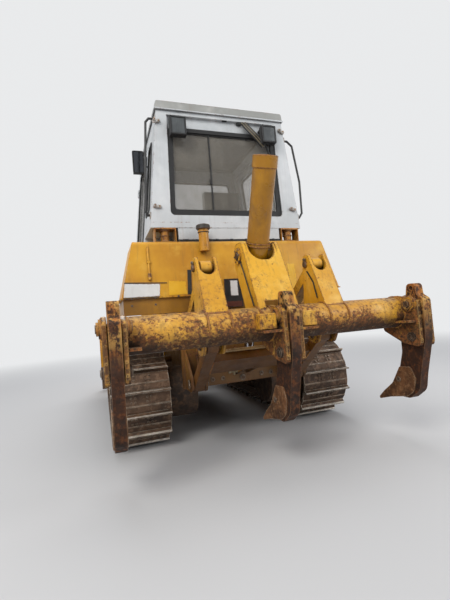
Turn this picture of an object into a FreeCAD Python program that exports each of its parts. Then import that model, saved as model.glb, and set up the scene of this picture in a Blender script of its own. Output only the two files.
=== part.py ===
"""Crawler bulldozer with a front blade and a rear ripper, as separate pieces in millimetres.

Frame while building: X to the machine's right, Y forward from the tracks' rear end, Z up from the ground.
The exported pieces are moved so that the origin lies on the ground under the middle of the machine.
"""
import FreeCAD
import Part
import math
import os

Vector = FreeCAD.Vector
AXIS_X = Vector(1, 0, 0)
AXIS_Y = Vector(0, 1, 0)
AXIS_Z = Vector(0, 0, 1)

# Clearances
pin_clearance = 0.05
seat_gap = 0.3
moving_gap = 5.0

# Tracks
track_gauge = 1920.0
shoe_width = 530.0
track_pitch = 172.0
turn_pitches = 13
flat_pitches = 13
link_half_height = 45.0
shoe_inner = 36.0
shoe_outer = 54.0
grouser_height = 49.0
grouser_root = 26.0
grouser_tip = 12.0
grouser_start = 22.0
shoe_overlap_gap = 6.0
rail_offset = 70.0
rail_width = 50.0
track_phase_left = 0.0
track_phase_right = 0.2
pitch_radius = track_pitch / (2 * math.sin(math.pi / turn_pitches))
chord_radius = pitch_radius * math.cos(math.pi / turn_pitches)
tip_offset = shoe_outer + grouser_height
axle_height = pitch_radius + tip_offset
rear_axle_y = pitch_radius + tip_offset
front_axle_y = rear_axle_y + flat_pitches * track_pitch
rail_inner_radius = chord_radius - link_half_height
shoe_inner_radius = chord_radius + shoe_inner
track_x = track_gauge / 2

# Wheels inside the tracks
sprocket_teeth = 26
sprocket_width = 70.0
sprocket_root_radius = 316.0
sprocket_tip_radius = 360.0
final_drive_radius = 250.0
final_drive_cap_radius = 150.0
final_drive_cap_length = 70.0
idler_tread_width = 196.0
idler_flange_width = 76.0
idler_flange_radius = 335.0
idler_dish_radius = 235.0
idler_dish_depth = 55.0
idler_boss_radius = 70.0
roller_radius = 85.0
roller_flange = 14.0
roller_flange_width = 16.0
roller_count = 6
roller_spacing = 275.0
roller_first_y = 900.0
roller_shaft_radius = 28.0
carrier_radius = 75.0
carrier_width = 190.0
carrier_places = (1200.0, 2050.0)

# Track frames
frame_half_width = 140.0
frame_plate = 18.0
frame_bottom = 215.0
frame_top = 540.0
frame_rear_y = 800.0
frame_front_y = 2320.0
yoke_bottom = 400.0
yoke_top = 520.0
yoke_end_reach = 75.0
pivot_shaft_y = 1020.0
pivot_shaft_z = 480.0
pivot_shaft_radius = 60.0
equaliser_y = 1600.0
equaliser_z = 680.0
equaliser_radius = 45.0
saddle_length = 180.0

# Hull
hull_half_width = 400.0
case_rear_y = 60.0
case_bottom = 545.0
case_top = 1355.0
case_front_y = 1650.0
case_shoulder_z = 1180.0
rail_plate = 90.0
rail_bottom = 600.0
rail_top = 880.0
hull_front_y = 2950.0
belly_start_y = 1300.0
belly_bottom = 440.0
belly_ramp = 110.0
tongue_half = 70.0
tongue_plate = 45.0
tongue_hole_reach = 50.0
tongue_hole_radius = 20.0
engine_half_width = 270.0
engine_start_y = 1820.0
engine_end_y = 2600.0
engine_top = 1420.0

# Hood
hood_half_width = 450.0
hood_plate = 20.0
hood_rear_y = 1665.0
hood_front_y = 2830.0
hood_split_z = 1450.0
hood_rear_top = 1830.0
hood_front_top = 1760.0
hood_shoulder = 120.0
side_panel_bottom = 900.0
louvre_count = 7
louvre_height = 22.0
louvre_pitch = 62.0
louvre_start_y = 1850.0
louvre_end_y = 2060.0
guard_half_width = 510.0
guard_depth = 120.0
guard_bottom = 600.0
guard_top = 1770.0
guard_frame = 100.0
grille_bar = 26.0
grille_bars = 11
radiator_depth = 90.0
radiator_half_width = 380.0
exhaust_x = 230.0
exhaust_y = 2050.0
exhaust_radius = 48.0
exhaust_top = 2650.0
muffler_radius = 85.0
muffler_length = 420.0
cleaner_x = -200.0
cleaner_y = 2350.0
cleaner_radius = 110.0
cleaner_height = 330.0

# Platform and fuel tank
platform_half_width = 1070.0
platform_rear_y = -125.0
platform_front_y = hood_rear_y - 5.0
platform_plate = 30.0
platform_drop = 108.0
tank_top_half = 960.0
tank_bottom_half = 1083.0
tank_rear_top_y = -73.0
tank_rear_bottom_y = -139.0
tank_front_y = 420.0
tank_bottom = 1395.0
tank_top = 1898.0
tank_edge_radius = 45.0
tank_lip = 10.0
neck_x = -321.0
neck_y = -125.0
neck_radius = 46.0
neck_bottom = 1790.0
neck_top = 1992.0
cap_radius = 61.0
cap_height = 38.0
breather_x = -835.0
breather_radius = 9.0
breather_length = 270.0

# Cab
cab_bottom = 1420.0
cab_top = 3250.0
cab_base_half = 846.0
cab_top_half = 645.0
cab_rear_base_y = 0.0
cab_rear_top_y = 4.0
cab_front_base_y = 1560.0
cab_front_top_y = 1420.0
cab_wall = 50.0
shelf_z = 2040.0
shelf_front_y = 460.0
skirt_half = 525.0
skirt_bottom = 1930.0
skirt_plate = 25.0
roof_overhang = 12.0
roof_plate = 80.0
roof_split_z = cab_top - roof_plate
recess_depth = 34.0
recess_bottom = 2160.0
recess_top = cab_top - 122.0
recess_bottom_half = 583.0
recess_top_half = 556.0
seal_width = 54.0
seal_depth = 22.0
window_top = cab_top - 280.0
window_radius = 40.0
front_window_bottom = 1980.0
front_window_top = cab_top - 230.0
front_window_bottom_half = 640.0
front_window_top_half = 555.0
glass_thickness = 8.0
glass_inset = 14.0
door_rear_y = 500.0
door_front_y = 1400.0
door_bottom = 1490.0
door_top = cab_top - 190.0
door_slope = 105.0
door_gap = 10.0
door_window_margin = 85.0
door_window_bottom = 2050.0
door_hinge_out = 16.0
quarter_rear_y = 130.0
quarter_front_y = 420.0
quarter_bottom = 2240.0
quarter_top = cab_top - 310.0
cab_mount_width = 200.0
cab_mount_inner = 546.0
cab_mount_depth = 120.0
cab_mount_y = 0.0
cab_mount_plate = 14.0
cab_mount_rubber = 40.0
seat_x = 120.0
seat_half = 215.0
seat_back_y = 480.0
seat_base_top = 1990.0
seat_back_top = 2600.0
console_half = 110.0
lamp_size = 150.0
lamp_height = 172.0
lamp_depth = 75.0
lamp_spread = 468.0
lamp_z = cab_top - 262.0
rail_radius = 11.0
rail_low_z = 2160.0
rail_rear_y = 30.0
# Side and top of each grab rail, then share of its height and distance out from the wall
rail_rows = (
    (1, cab_top - 268.0, (
        (0.0, -20.0), (0.0, 30.0), (0.06, 70.0), (0.47, 112.0), (0.94, 100.0), (1.0, 50.0), (1.0, -20.0),
    )),
    (-1, cab_top - 165.0, (
        (0.0, -20.0), (0.0, 25.0), (0.04, 50.0), (0.96, 86.0), (1.0, 60.0), (1.0, -20.0),
    )),
)
mirror_width = 110.0
mirror_height = 230.0
mirror_y = 330.0
mirror_foot_y = 457.0
mirror_z = cab_top - 460.0

# Blade and its frame
trunnion_y = 1300.0
trunnion_z = 420.0
trunnion_radius = 45.0
trunnion_eye_radius = 88.0
arm_inner_x = 590.0
arm_outer_x = 680.0
arm_half_height = 75.0
cross_rear_y = 3180.0
cross_front_y = 3330.0
cross_half_height = 90.0
nose_half_width = 120.0
nose_front_y = 3480.0
nose_pin_radius = 50.0
nose_pin_length = 150.0
blade_half_width = 1300.0
rib_places = (blade_half_width - 220.0, blade_half_width / 2)
beam_end_margin = 120.0
blade_bottom = 20.0
blade_top = 1000.0
blade_plate = 28.0
blade_edge_y = 3930.0
blade_belly_y = 3800.0
blade_top_y = 3880.0
edge_height = 200.0
edge_plate = 30.0
beam_rear_y = 3645.0
beam_low_z = 250.0
beam_high_z = 520.0
beam_half_length = blade_half_width - beam_end_margin
lift_eye_reach = 1350.0
lift_eye_up = 180.0
lift_top_y = 2200.0
lift_top_z = 1450.0
lift_x = 630.0
lift_barrel_radius = 52.0
lift_bore_radius = 40.0
lift_rod_radius = 25.0
lift_barrel_up = 450.0
lift_barrel_down = 280.0
lift_rod_length = 910.0
lift_stub_radius = 35.0
lift_eye_radius = 45.0
lift_eye_half = 24.0
lug_plate = 18.0
tilt_y = 3560.0
tilt_barrel_x = 430.0
tilt_barrel_z = 640.0
tilt_rod_x = -230.0
tilt_rod_z = 800.0
tilt_barrel_radius = 42.0
tilt_bore_radius = 32.0
tilt_rod_radius = 16.0
tilt_barrel_length = 400.0
tilt_eye_radius = 36.0
tilt_eye_half = 18.0

# Ripper linkage, as (y, z) of each cross pin
upper_pin_frame = (-640.0, 1560.0)
upper_pin_hull = (-150.0, 1195.0)
lower_pin_hull = (-170.0, 600.0)
lower_pin_frame = (
    lower_pin_hull[0] + upper_pin_frame[0] - upper_pin_hull[0],
    lower_pin_hull[1] + upper_pin_frame[1] - upper_pin_hull[1],
)
ram_pin = (-550.0, 1660.0)
ram_foot = (-150.0, 750.0)
beam_y = -810.0
beam_z = 1100.0
beam_radius = 128.0
link_x = 485.0
link_half = 45.0
link_height = 84.0
link_eye_radius = 55.0
link_pin_radius = 28.0
arm_plate = 20.0
arm_inner_half = 65.0
arm_outer_half = 85.0
arm_top_z = upper_pin_frame[1] + 80.0
rear_edge_low = (beam_y - 120.0, beam_z)
rear_edge_high = (upper_pin_frame[0] - 40.0, arm_top_z)
lower_bracket_top = 905.0
mount_plate_rear_y = 10.0
mount_half_width = 575.0
mount_bottom = 545.0
mount_top = 1270.0
mount_cheek = 20.0
mount_gap = 6.0

# Ripper beam, shanks and ram
beam_wall = 24.0
shank_spacing = 1187.0
shank_half = 38.0
pocket_gap = 4.0
pocket_plate = 32.0
pocket_rear_y = -1060.0
pocket_front_y = -680.0
pocket_front_plate = 30.0
pocket_rear_low_z = 815.0
pocket_front_low_z = 940.0
pocket_high_z = 1240.0
pocket_boss_radius = 60.0
pocket_boss_length = 16.0
ledge_plate = 18.0
end_ledge_z = 1030.0
end_ledge_reach = 80.0
middle_ledge_z = 1060.0
middle_ledge_reach = 140.0
shank_pin_y = -985.0
shank_pin_z = 1160.0
shank_pin_radius = 30.0
shank_pin_head = 42.0
shank_pin_head_length = 14.0
eye_y = -985.0
eye_z = 1290.0
eye_radius = 17.0
tooth_wall = 8.0
tower_inner_half = 132.0
tower_outer_half = 165.0
tower_plate = 24.0
ram_barrel_radius = 91.0
ram_bore_radius = 72.0
ram_collar_radius = 98.0
ram_collar_length = 86.0
ram_barrel_up = 776.0
ram_barrel_down = 110.0
ram_rod_radius = 45.0
ram_rod_length = 925.0
ram_stub_radius = 38.0
ram_eye_radius = 68.0
ram_eye_half = 40.0
ram_cheek = 26.0

# Ends of the whole machine, for the origin
machine_rear_y = -1095.0
machine_front_y = blade_edge_y + edge_plate
origin_y = (machine_rear_y + machine_front_y) / 2


def corner_arc(before, corner, after, radius):
    """Start, middle and end of the arc that rounds a corner."""
    to_before = (before[0] - corner[0], before[1] - corner[1])
    to_after = (after[0] - corner[0], after[1] - corner[1])
    length_b = math.hypot(*to_before)
    length_a = math.hypot(*to_after)
    unit_b = (to_before[0] / length_b, to_before[1] / length_b)
    unit_a = (to_after[0] / length_a, to_after[1] / length_a)
    half = math.acos(max(-1.0, min(1.0, unit_b[0] * unit_a[0] + unit_b[1] * unit_a[1]))) / 2
    radius = min(radius, 0.49 * min(length_a, length_b) * math.tan(half))
    reach = radius / math.tan(half)
    start = (corner[0] + unit_b[0] * reach, corner[1] + unit_b[1] * reach)
    end = (corner[0] + unit_a[0] * reach, corner[1] + unit_a[1] * reach)
    middle_dir = (unit_b[0] + unit_a[0], unit_b[1] + unit_a[1])
    middle_len = math.hypot(*middle_dir)
    middle_reach = radius / math.sin(half) - radius
    middle = (
        corner[0] + middle_dir[0] / middle_len * middle_reach,
        corner[1] + middle_dir[1] / middle_len * middle_reach,
    )
    return start, middle, end


def prism(axis, points, low, high):
    """Solid from an outline, whose points are (a, b) or (a, b, corner radius), pushed along an axis.

    The outline's two coordinates are (y, z) for axis x, (x, z) for axis y and (x, y) for axis z.
    """
    def place(a, b):
        if axis == "x":
            return Vector(low, a, b)
        if axis == "y":
            return Vector(a, low, b)
        return Vector(a, b, low)

    count = len(points)
    pieces = []
    for i, point in enumerate(points):
        if len(point) == 3 and point[2] > 0:
            arc = corner_arc(points[i - 1], point, points[(i + 1) % count], point[2])
            pieces.append([place(*spot) for spot in arc])
        else:
            pieces.append([place(point[0], point[1])])
    edges = []
    for i, piece in enumerate(pieces):
        if len(piece) == 3:
            edges.append(Part.Arc(*piece).toShape())
        following = pieces[(i + 1) % count]
        if piece[-1].distanceToPoint(following[0]) > 1e-6:
            edges.append(Part.LineSegment(piece[-1], following[0]).toShape())
    push = {"x": AXIS_X, "y": AXIS_Y, "z": AXIS_Z}[axis] * (high - low)
    return Part.Face(Part.Wire(edges)).extrude(push)


def box(x0, x1, y0, y1, z0, z1):
    """Block between two corners."""
    return Part.makeBox(x1 - x0, y1 - y0, z1 - z0, Vector(x0, y0, z0))


def rod(start, end, radius):
    """Round bar between two points."""
    along = end - start
    return Part.makeCylinder(radius, along.Length, start, along)


def cross_rod(x0, x1, spot, radius):
    """Round bar along X through a (y, z) spot."""
    return Part.makeCylinder(radius, x1 - x0, Vector(x0, spot[0], spot[1]), AXIS_X)


def join(shapes):
    """One solid from touching shapes."""
    shapes = list(shapes)
    whole = shapes[0]
    if len(shapes) > 1:
        whole = whole.fuse(shapes[1:])
    return whole.removeSplitter()


def take(shape, cutters):
    """A shape with others cut out of it."""
    return shape.cut(list(cutters)).removeSplitter()


def mirrored(shape):
    """The same shape on the machine's other side."""
    return shape.mirror(Vector(0, 0, 0), AXIS_X)


def pair(shape):
    """A shape and its mirror image as two solids of one node."""
    return Part.makeCompound([mirrored(shape), shape])


def unit_yz(start, end):
    """Unit vector from one (y, z) spot to another, with their distance."""
    length = math.hypot(end[0] - start[0], end[1] - start[1])
    return ((end[0] - start[0]) / length, (end[1] - start[1]) / length), length


def track_spot(pitches):
    """Place on the chain's pitch line, counted in pitches from the rear end of the ground run."""
    half_turn = turn_pitches / 2
    step = 2 * math.pi / turn_pitches
    along = pitches % (2 * flat_pitches + turn_pitches)
    if along <= flat_pitches:
        return rear_axle_y + along * track_pitch, axle_height - pitch_radius
    along -= flat_pitches
    if along <= half_turn:
        angle = along * step
        return front_axle_y + pitch_radius * math.sin(angle), axle_height - pitch_radius * math.cos(angle)
    along -= half_turn
    if along <= flat_pitches:
        return front_axle_y - along * track_pitch, axle_height + pitch_radius
    angle = (along - flat_pitches) * step
    return rear_axle_y - pitch_radius * math.sin(angle), axle_height + pitch_radius * math.cos(angle)


def stadium(radius, low, high):
    """Solid round both axles, as a belt of this radius encloses it."""
    middle = box(low, high, rear_axle_y, front_axle_y, axle_height - radius, axle_height + radius)
    ends = [cross_rod(low, high, (y, axle_height), radius) for y in (rear_axle_y, front_axle_y)]
    return join([middle] + ends)


def track_loop(phase):
    """Closed chain of shoes with one grouser bar each, on two rails of links, about X = 0."""
    # Profile of one shoe: distance from its rear pin along the shoe, distance out from the pin line
    slope = (grouser_root - grouser_tip) / 2
    profile = (
        (shoe_overlap_gap, shoe_outer),
        (grouser_start, shoe_outer),
        (grouser_start + slope, tip_offset),
        (grouser_start + slope + grouser_tip, tip_offset),
        (grouser_start + grouser_root, shoe_outer),
        (track_pitch - shoe_overlap_gap, shoe_outer),
    )
    points = []
    for shoe in range(2 * flat_pitches + turn_pitches):
        start = track_spot(shoe + phase)
        end = track_spot(shoe + 1 + phase)
        (uy, uz), length = unit_yz(start, end)
        for along, out in profile:
            share = along * length / track_pitch
            points.append((start[0] + uy * share + uz * out, start[1] + uz * share - uy * out))
    shoes = prism("x", points, -shoe_width / 2, shoe_width / 2)
    shoes = shoes.cut(stadium(shoe_inner_radius, -shoe_width / 2, shoe_width / 2))
    rails = []
    for side in (-1, 1):
        low = side * rail_offset - rail_width / 2
        high = low + rail_width
        ring = stadium(shoe_inner_radius + 2, low, high).cut(stadium(rail_inner_radius, low, high))
        rails.append(ring)
    return join([shoes] + rails)


def sprocket():
    """Toothed wheel with its final drive case, about the track's centre plane."""
    points = []
    step = 2 * math.pi / sprocket_teeth
    # Corners of one tooth: share of the tooth's step, radius
    tooth = (
        (-0.30, sprocket_root_radius),
        (-0.14, sprocket_tip_radius),
        (0.14, sprocket_tip_radius),
        (0.30, sprocket_root_radius),
    )
    for i in range(sprocket_teeth):
        for share, radius in tooth:
            angle = (i + share) * step
            points.append((rear_axle_y + radius * math.cos(angle), axle_height + radius * math.sin(angle)))
    half = sprocket_width / 2
    axle = (rear_axle_y, axle_height)
    disc = prism("x", points, -half, half)
    case_length = track_x - hull_half_width
    case = cross_rod(-case_length, -half, axle, final_drive_radius)
    cap = cross_rod(half, half + final_drive_cap_length, axle, final_drive_cap_radius)
    return join([disc, case, cap])


def idler():
    """Front wheel that turns the chain back, about the track's centre plane."""
    axle = (front_axle_y, axle_height)
    half = idler_tread_width / 2
    wheel = cross_rod(-half, half, axle, rail_inner_radius - seat_gap)
    flange = cross_rod(-idler_flange_width / 2, idler_flange_width / 2, axle, idler_flange_radius)
    reach = frame_half_width - frame_plate
    boss = cross_rod(-reach, reach, axle, idler_boss_radius)
    dishes = [
        cross_rod(-half, -half + idler_dish_depth, axle, idler_dish_radius),
        cross_rod(half - idler_dish_depth, half, axle, idler_dish_radius),
    ]
    return join([take(join([wheel, flange]), dishes), boss])


def roller(y):
    """Lower roller with its shaft, about the track's centre plane."""
    z = axle_height - rail_inner_radius + seat_gap + roller_radius
    tread = rail_offset + rail_width / 2 + 3
    shaft = frame_half_width - frame_plate
    flange = roller_radius + roller_flange
    pieces = [
        cross_rod(-tread, tread, (y, z), roller_radius),
        cross_rod(-shaft, shaft, (y, z), roller_shaft_radius),
        cross_rod(-tread - roller_flange_width, -tread, (y, z), flange),
        cross_rod(tread, tread + roller_flange_width, (y, z), flange),
    ]
    return join(pieces)


def carrier(y):
    """Upper roller on its post, which stands on the track frame."""
    z = axle_height + rail_inner_radius - seat_gap - carrier_radius
    wheel = cross_rod(-carrier_width / 2, carrier_width / 2, (y, z), carrier_radius)
    post = box(-carrier_width / 2 - 40, -carrier_width / 2, y - 45, y + 45, frame_top, z + 40)
    return join([wheel, post])


def track_wheels():
    """Idlers, lower rollers and upper rollers of both tracks."""
    wheels = [idler()]
    for i in range(roller_count):
        wheels.append(roller(roller_first_y + i * roller_spacing))
    for y in carrier_places:
        wheels.append(carrier(y))
    placed = [wheel.translated(Vector(track_x, 0, 0)) for wheel in wheels]
    return Part.makeCompound(placed + [mirrored(wheel) for wheel in placed])


def track_frame():
    """Channel over the rollers with the idler's yoke and the blade frame's pin, on the right side."""
    length_y = (frame_rear_y, frame_front_y)
    sides = []
    for side in (-1, 1):
        inner = side * (frame_half_width - frame_plate)
        outer = side * frame_half_width
        low = min(inner, outer)
        high = max(inner, outer)
        outline = (
            (length_y[0], frame_bottom),
            (length_y[1], frame_bottom),
            (length_y[1] + 120, yoke_bottom),
            (front_axle_y + yoke_end_reach, yoke_bottom, 55),
            (front_axle_y + yoke_end_reach, yoke_top, 55),
            (length_y[1] + 60, yoke_top),
            (length_y[1], frame_top),
            (length_y[0] + 120, frame_top),
            (length_y[0], frame_top - 160),
        )
        sides.append(prism("x", outline, low, high))
    inner_half = frame_half_width - frame_plate
    top = box(-inner_half, inner_half, length_y[0] + 140, length_y[1], frame_top - frame_plate, frame_top)
    pin_spot = (trunnion_y, trunnion_z)
    inward = arm_inner_x - track_x
    boss = cross_rod(arm_outer_x + 14 - track_x, -inner_half, pin_spot, trunnion_eye_radius + 10)
    pin = cross_rod(inward - 18, -inner_half, pin_spot, trunnion_radius)
    keeper = cross_rod(inward - 18, inward - 4, pin_spot, trunnion_radius + 18)
    saddle = box(
        -frame_half_width, frame_half_width,
        equaliser_y - saddle_length / 2, equaliser_y + saddle_length / 2,
        frame_top, equaliser_z + equaliser_radius + 20,
    )
    seat = cross_rod(-frame_half_width, frame_half_width, (equaliser_y, equaliser_z), equaliser_radius)
    pieces = sides + [top, boss, pin, keeper, take(saddle, [seat])]
    return join(pieces).translated(Vector(track_x, 0, 0))


def hull():
    """Rear case, gearbox and frame rails in one heavy welded body."""
    case_outline = (
        (case_rear_y, case_bottom),
        (belly_start_y, case_bottom),
        (belly_start_y, rail_bottom),
        (case_front_y, rail_bottom),
        (case_front_y, case_top),
        (case_rear_y + 60, case_top),
        (case_rear_y, case_shoulder_z),
    )
    case = prism("x", case_outline, -hull_half_width, hull_half_width)
    rails = []
    for side in (-1, 1):
        low = min(side * hull_half_width, side * (hull_half_width - rail_plate))
        rails.append(box(low, low + rail_plate, case_front_y, hull_front_y, rail_bottom, rail_top))
    inner = hull_half_width - rail_plate
    cross = box(-inner, inner, hull_front_y - 200, hull_front_y - 60, rail_bottom, rail_top - 160)
    bearers = box(-inner, inner, engine_start_y + 60, engine_start_y + 180, rail_bottom, rail_bottom + 90)
    return join([case, cross, bearers] + rails)


def belly_guard():
    """Plate under the engine, ramped at both ends, with the front pull tongue."""
    outline = (
        (belly_start_y, case_bottom),
        (belly_start_y + belly_ramp, belly_bottom),
        (hull_front_y - belly_ramp, belly_bottom),
        (hull_front_y, case_bottom),
        (hull_front_y, rail_bottom),
        (belly_start_y, rail_bottom),
    )
    plate = prism("x", outline, -hull_half_width, hull_half_width)
    tongue_outline = (
        (-tongue_half, hull_front_y - 10),
        (tongue_half, hull_front_y - 10),
        (tongue_half, hull_front_y + 95, 40),
        (-tongue_half, hull_front_y + 95, 40),
    )
    tongue = prism("z", tongue_outline, rail_bottom - tongue_plate, rail_bottom)
    foot = Vector(0, hull_front_y + tongue_hole_reach, rail_bottom - 2 * tongue_plate)
    hole = Part.makeCylinder(tongue_hole_radius, 3 * tongue_plate, foot, AXIS_Z)
    return take(join([plate, tongue]), [hole])


def engine():
    """Engine as one plain block on the bearers."""
    return box(
        -engine_half_width, engine_half_width, engine_start_y, engine_end_y, rail_bottom + 90, engine_top
    )


def hood():
    """Arched engine cover, open below."""
    outer = (
        (-hood_half_width, hood_split_z),
        (hood_half_width, hood_split_z),
        (hood_half_width, hood_rear_top, hood_shoulder),
        (-hood_half_width, hood_rear_top, hood_shoulder),
    )
    thin = hood_plate
    inner = (
        (-hood_half_width + thin, hood_split_z),
        (hood_half_width - thin, hood_split_z),
        (hood_half_width - thin, hood_rear_top - thin, hood_shoulder - thin),
        (-hood_half_width + thin, hood_rear_top - thin, hood_shoulder - thin),
    )
    shell = prism("y", outer, hood_rear_y, hood_front_y).cut(prism("y", inner, hood_rear_y, hood_front_y))
    holes = [
        Part.makeCylinder(
            exhaust_radius + 8, 400, Vector(exhaust_x, exhaust_y, hood_rear_top - 200), AXIS_Z,
        ),
        Part.makeCylinder(60, 400, Vector(cleaner_x, cleaner_y, hood_rear_top - 200), AXIS_Z),
    ]
    return take(shell, holes)


def hood_sides():
    """Side panels under the hood with a stack of louvre slots each."""
    panel = box(
        hood_half_width - hood_plate, hood_half_width,
        hood_rear_y, hood_front_y, side_panel_bottom, hood_split_z - seat_gap,
    )
    slots = []
    for i in range(louvre_count):
        z = side_panel_bottom + 70 + i * louvre_pitch
        for start, end in ((louvre_start_y - 120, louvre_end_y), (lift_top_y + 140, hood_front_y - 90)):
            slots.append(box(
                hood_half_width - hood_plate - 5, hood_half_width + 5, start, end, z, z + louvre_height,
            ))
    return pair(take(panel, slots))


def radiator_guard():
    """Strong frame round the radiator at the machine's nose."""
    outline = (
        (-guard_half_width, guard_bottom),
        (guard_half_width, guard_bottom),
        (guard_half_width, guard_top, 90),
        (-guard_half_width, guard_top, 90),
    )
    block = prism("y", outline, hood_front_y, hood_front_y + guard_depth)
    opening = box(
        -guard_half_width + guard_frame, guard_half_width - guard_frame,
        hood_front_y - 5, hood_front_y + guard_depth + 5,
        rail_top + 20, guard_top - guard_frame,
    )
    rails = box(
        -hull_half_width, hull_half_width, hood_front_y - 5, hood_front_y + guard_depth + 5,
        guard_bottom - 5, rail_top,
    )
    return take(block, [opening, rails])


def grille():
    """Bars across the radiator guard's opening, tied by an upright at each side."""
    inner_half = guard_half_width - guard_frame - seat_gap
    low = rail_top + 20 + seat_gap
    high = guard_top - guard_frame - seat_gap
    y0 = hood_front_y + 40
    y1 = y0 + 30
    uprights = [
        box(-inner_half, -inner_half + 30, y0, y1, low, high),
        box(inner_half - 30, inner_half, y0, y1, low, high),
        box(-15, 15, y0, y1, low, high),
    ]
    step = (high - low - grille_bar) / (grille_bars - 1)
    bars = [
        box(-inner_half, inner_half, y0, y1, low + i * step, low + i * step + grille_bar)
        for i in range(grille_bars)
    ]
    return join(uprights + bars)


def radiator():
    """Cooler core behind the grille, standing on the frame rails."""
    return box(
        -radiator_half_width, radiator_half_width,
        hood_front_y - radiator_depth - 60, hood_front_y - 60,
        rail_top, guard_top - guard_frame,
    )


def exhaust():
    """Muffler and stack, which rise from the engine through the hood."""
    foot = Vector(exhaust_x, exhaust_y, engine_top)
    pipe = Part.makeCylinder(exhaust_radius, exhaust_top - engine_top, foot, AXIS_Z)
    foot = Vector(exhaust_x, exhaust_y, exhaust_top - 480)
    bore = Part.makeCylinder(exhaust_radius - 5, 500, foot, AXIS_Z)
    start = Vector(exhaust_x, exhaust_y, hood_rear_top + 60)
    muffler = Part.makeCylinder(muffler_radius, muffler_length, start, AXIS_Z)
    return take(join([pipe, muffler]), [bore])


def air_cleaner():
    """Round pre-cleaner on its pipe through the hood."""
    foot = Vector(cleaner_x, cleaner_y, engine_top)
    pipe = Part.makeCylinder(52, hood_rear_top + 90 - engine_top, foot, AXIS_Z)
    start = Vector(cleaner_x, cleaner_y, hood_rear_top + 90)
    bowl = Part.makeCylinder(cleaner_radius, cleaner_height - 110, start, AXIS_Z)
    cap = Part.makeCone(
        cleaner_radius + 18, cleaner_radius - 30, 60, start + Vector(0, 0, cleaner_height - 110), AXIS_Z
    )
    return join([pipe, bowl, cap])


def platform():
    """Deck over the tracks and the rear case, turned down at its rear and outer edges."""
    top = case_top + platform_plate
    deck = box(
        -platform_half_width, platform_half_width, platform_rear_y, platform_front_y, case_top, top
    )
    rear = box(
        -platform_half_width, platform_half_width, platform_rear_y, platform_rear_y + 20,
        case_top - platform_drop, case_top,
    )
    sides = []
    for side in (-1, 1):
        outer = side * platform_half_width
        low = min(outer, outer - side * 20)
        sides.append(box(
            low, low + 20, platform_rear_y, platform_front_y, case_top - platform_drop, case_top
        ))
    return join([deck, rear] + sides)


def fuel_tank():
    """Wide tank behind the cab with sloping rear and side walls on a flanged lip."""
    floor = case_top + platform_plate
    side_outline = (
        (tank_rear_bottom_y, tank_bottom),
        (tank_front_y, tank_bottom),
        (tank_front_y, tank_top, 20),
        (tank_rear_top_y, tank_top, tank_edge_radius),
    )
    rear_outline = (
        (-tank_bottom_half, tank_bottom),
        (tank_bottom_half, tank_bottom),
        (tank_top_half, tank_top, 14),
        (-tank_top_half, tank_top, 14),
    )
    body = prism("x", side_outline, -tank_bottom_half, tank_bottom_half)
    body = body.common(prism("y", rear_outline, tank_rear_bottom_y - 5, tank_front_y + 5))
    lip = box(
        -tank_bottom_half - tank_lip, tank_bottom_half + tank_lip,
        tank_rear_bottom_y - tank_lip, tank_front_y, floor, tank_bottom,
    )
    pocket = Part.makeCylinder(neck_radius, tank_top, Vector(neck_x, neck_y, neck_bottom), AXIS_Z)
    return take(join([body, lip]), [pocket])


def filler_neck():
    """Upright filler pipe with its screw cap, let into the tank's rear wall."""
    foot = Vector(neck_x, neck_y, neck_bottom)
    pipe = Part.makeCylinder(neck_radius - seat_gap, neck_top - neck_bottom, foot, AXIS_Z)
    ring = Part.makeCylinder(neck_radius + 6, 14, Vector(neck_x, neck_y, neck_top - 30), AXIS_Z)
    cap = Part.makeCylinder(cap_radius, cap_height, Vector(neck_x, neck_y, neck_top), AXIS_Z)
    return join([pipe, ring, cap])


def tank_wall_y(z):
    """Rear wall of the fuel tank at a height."""
    share = (z - tank_bottom) / (tank_top - tank_bottom)
    return tank_rear_bottom_y + share * (tank_rear_top_y - tank_rear_bottom_y)


def breather():
    """Thin pipe down the tank's rear wall, with a fitting at its foot and a clip on the wall."""
    high = tank_top - tank_edge_radius - 12
    low = high - breather_length
    middle = (low + high) / 2
    gap = breather_radius + seat_gap
    start = Vector(breather_x, tank_wall_y(low) - gap - 2, low)
    end = Vector(breather_x, tank_wall_y(high) - gap - 2, high)
    pipe = rod(start, end, breather_radius)
    nut = rod(start - Vector(0, 3, 26), start, breather_radius + 5)
    clip = box(
        breather_x - 16, breather_x + 16,
        tank_wall_y(middle) - 2 * breather_radius - 4, tank_wall_y(middle) + 10,
        middle - 12, middle + 12,
    )
    return take(join([pipe, nut, clip]), [fuel_tank()])


def cab_block(grow):
    """Closed body of the cab, drawn in by a distance on every side."""
    def rear(z):
        share = (z - cab_bottom) / (cab_top - cab_bottom)
        return cab_rear_base_y + share * (cab_rear_top_y - cab_rear_base_y) + grow

    def front(z):
        share = (z - cab_bottom) / (cab_top - cab_bottom)
        return cab_front_base_y + share * (cab_front_top_y - cab_front_base_y) - grow

    def half(z):
        share = (z - cab_bottom) / (cab_top - cab_bottom)
        return cab_base_half + share * (cab_top_half - cab_base_half) - grow

    low = cab_bottom + grow
    high = cab_top - grow
    side_outline = (
        (shelf_front_y + grow, low),
        (front(low), low),
        (front(high), high),
        (rear(high), high),
        (rear(shelf_z + grow), shelf_z + grow),
        (shelf_front_y + grow, shelf_z + grow),
    )
    rear_outline = (
        (-half(low), low),
        (half(low), low),
        (half(high), high),
        (-half(high), high),
    )
    body = prism("x", side_outline, -half(low), half(low))
    return body.common(prism("y", rear_outline, cab_rear_base_y - 100, cab_front_base_y + 100))


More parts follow.
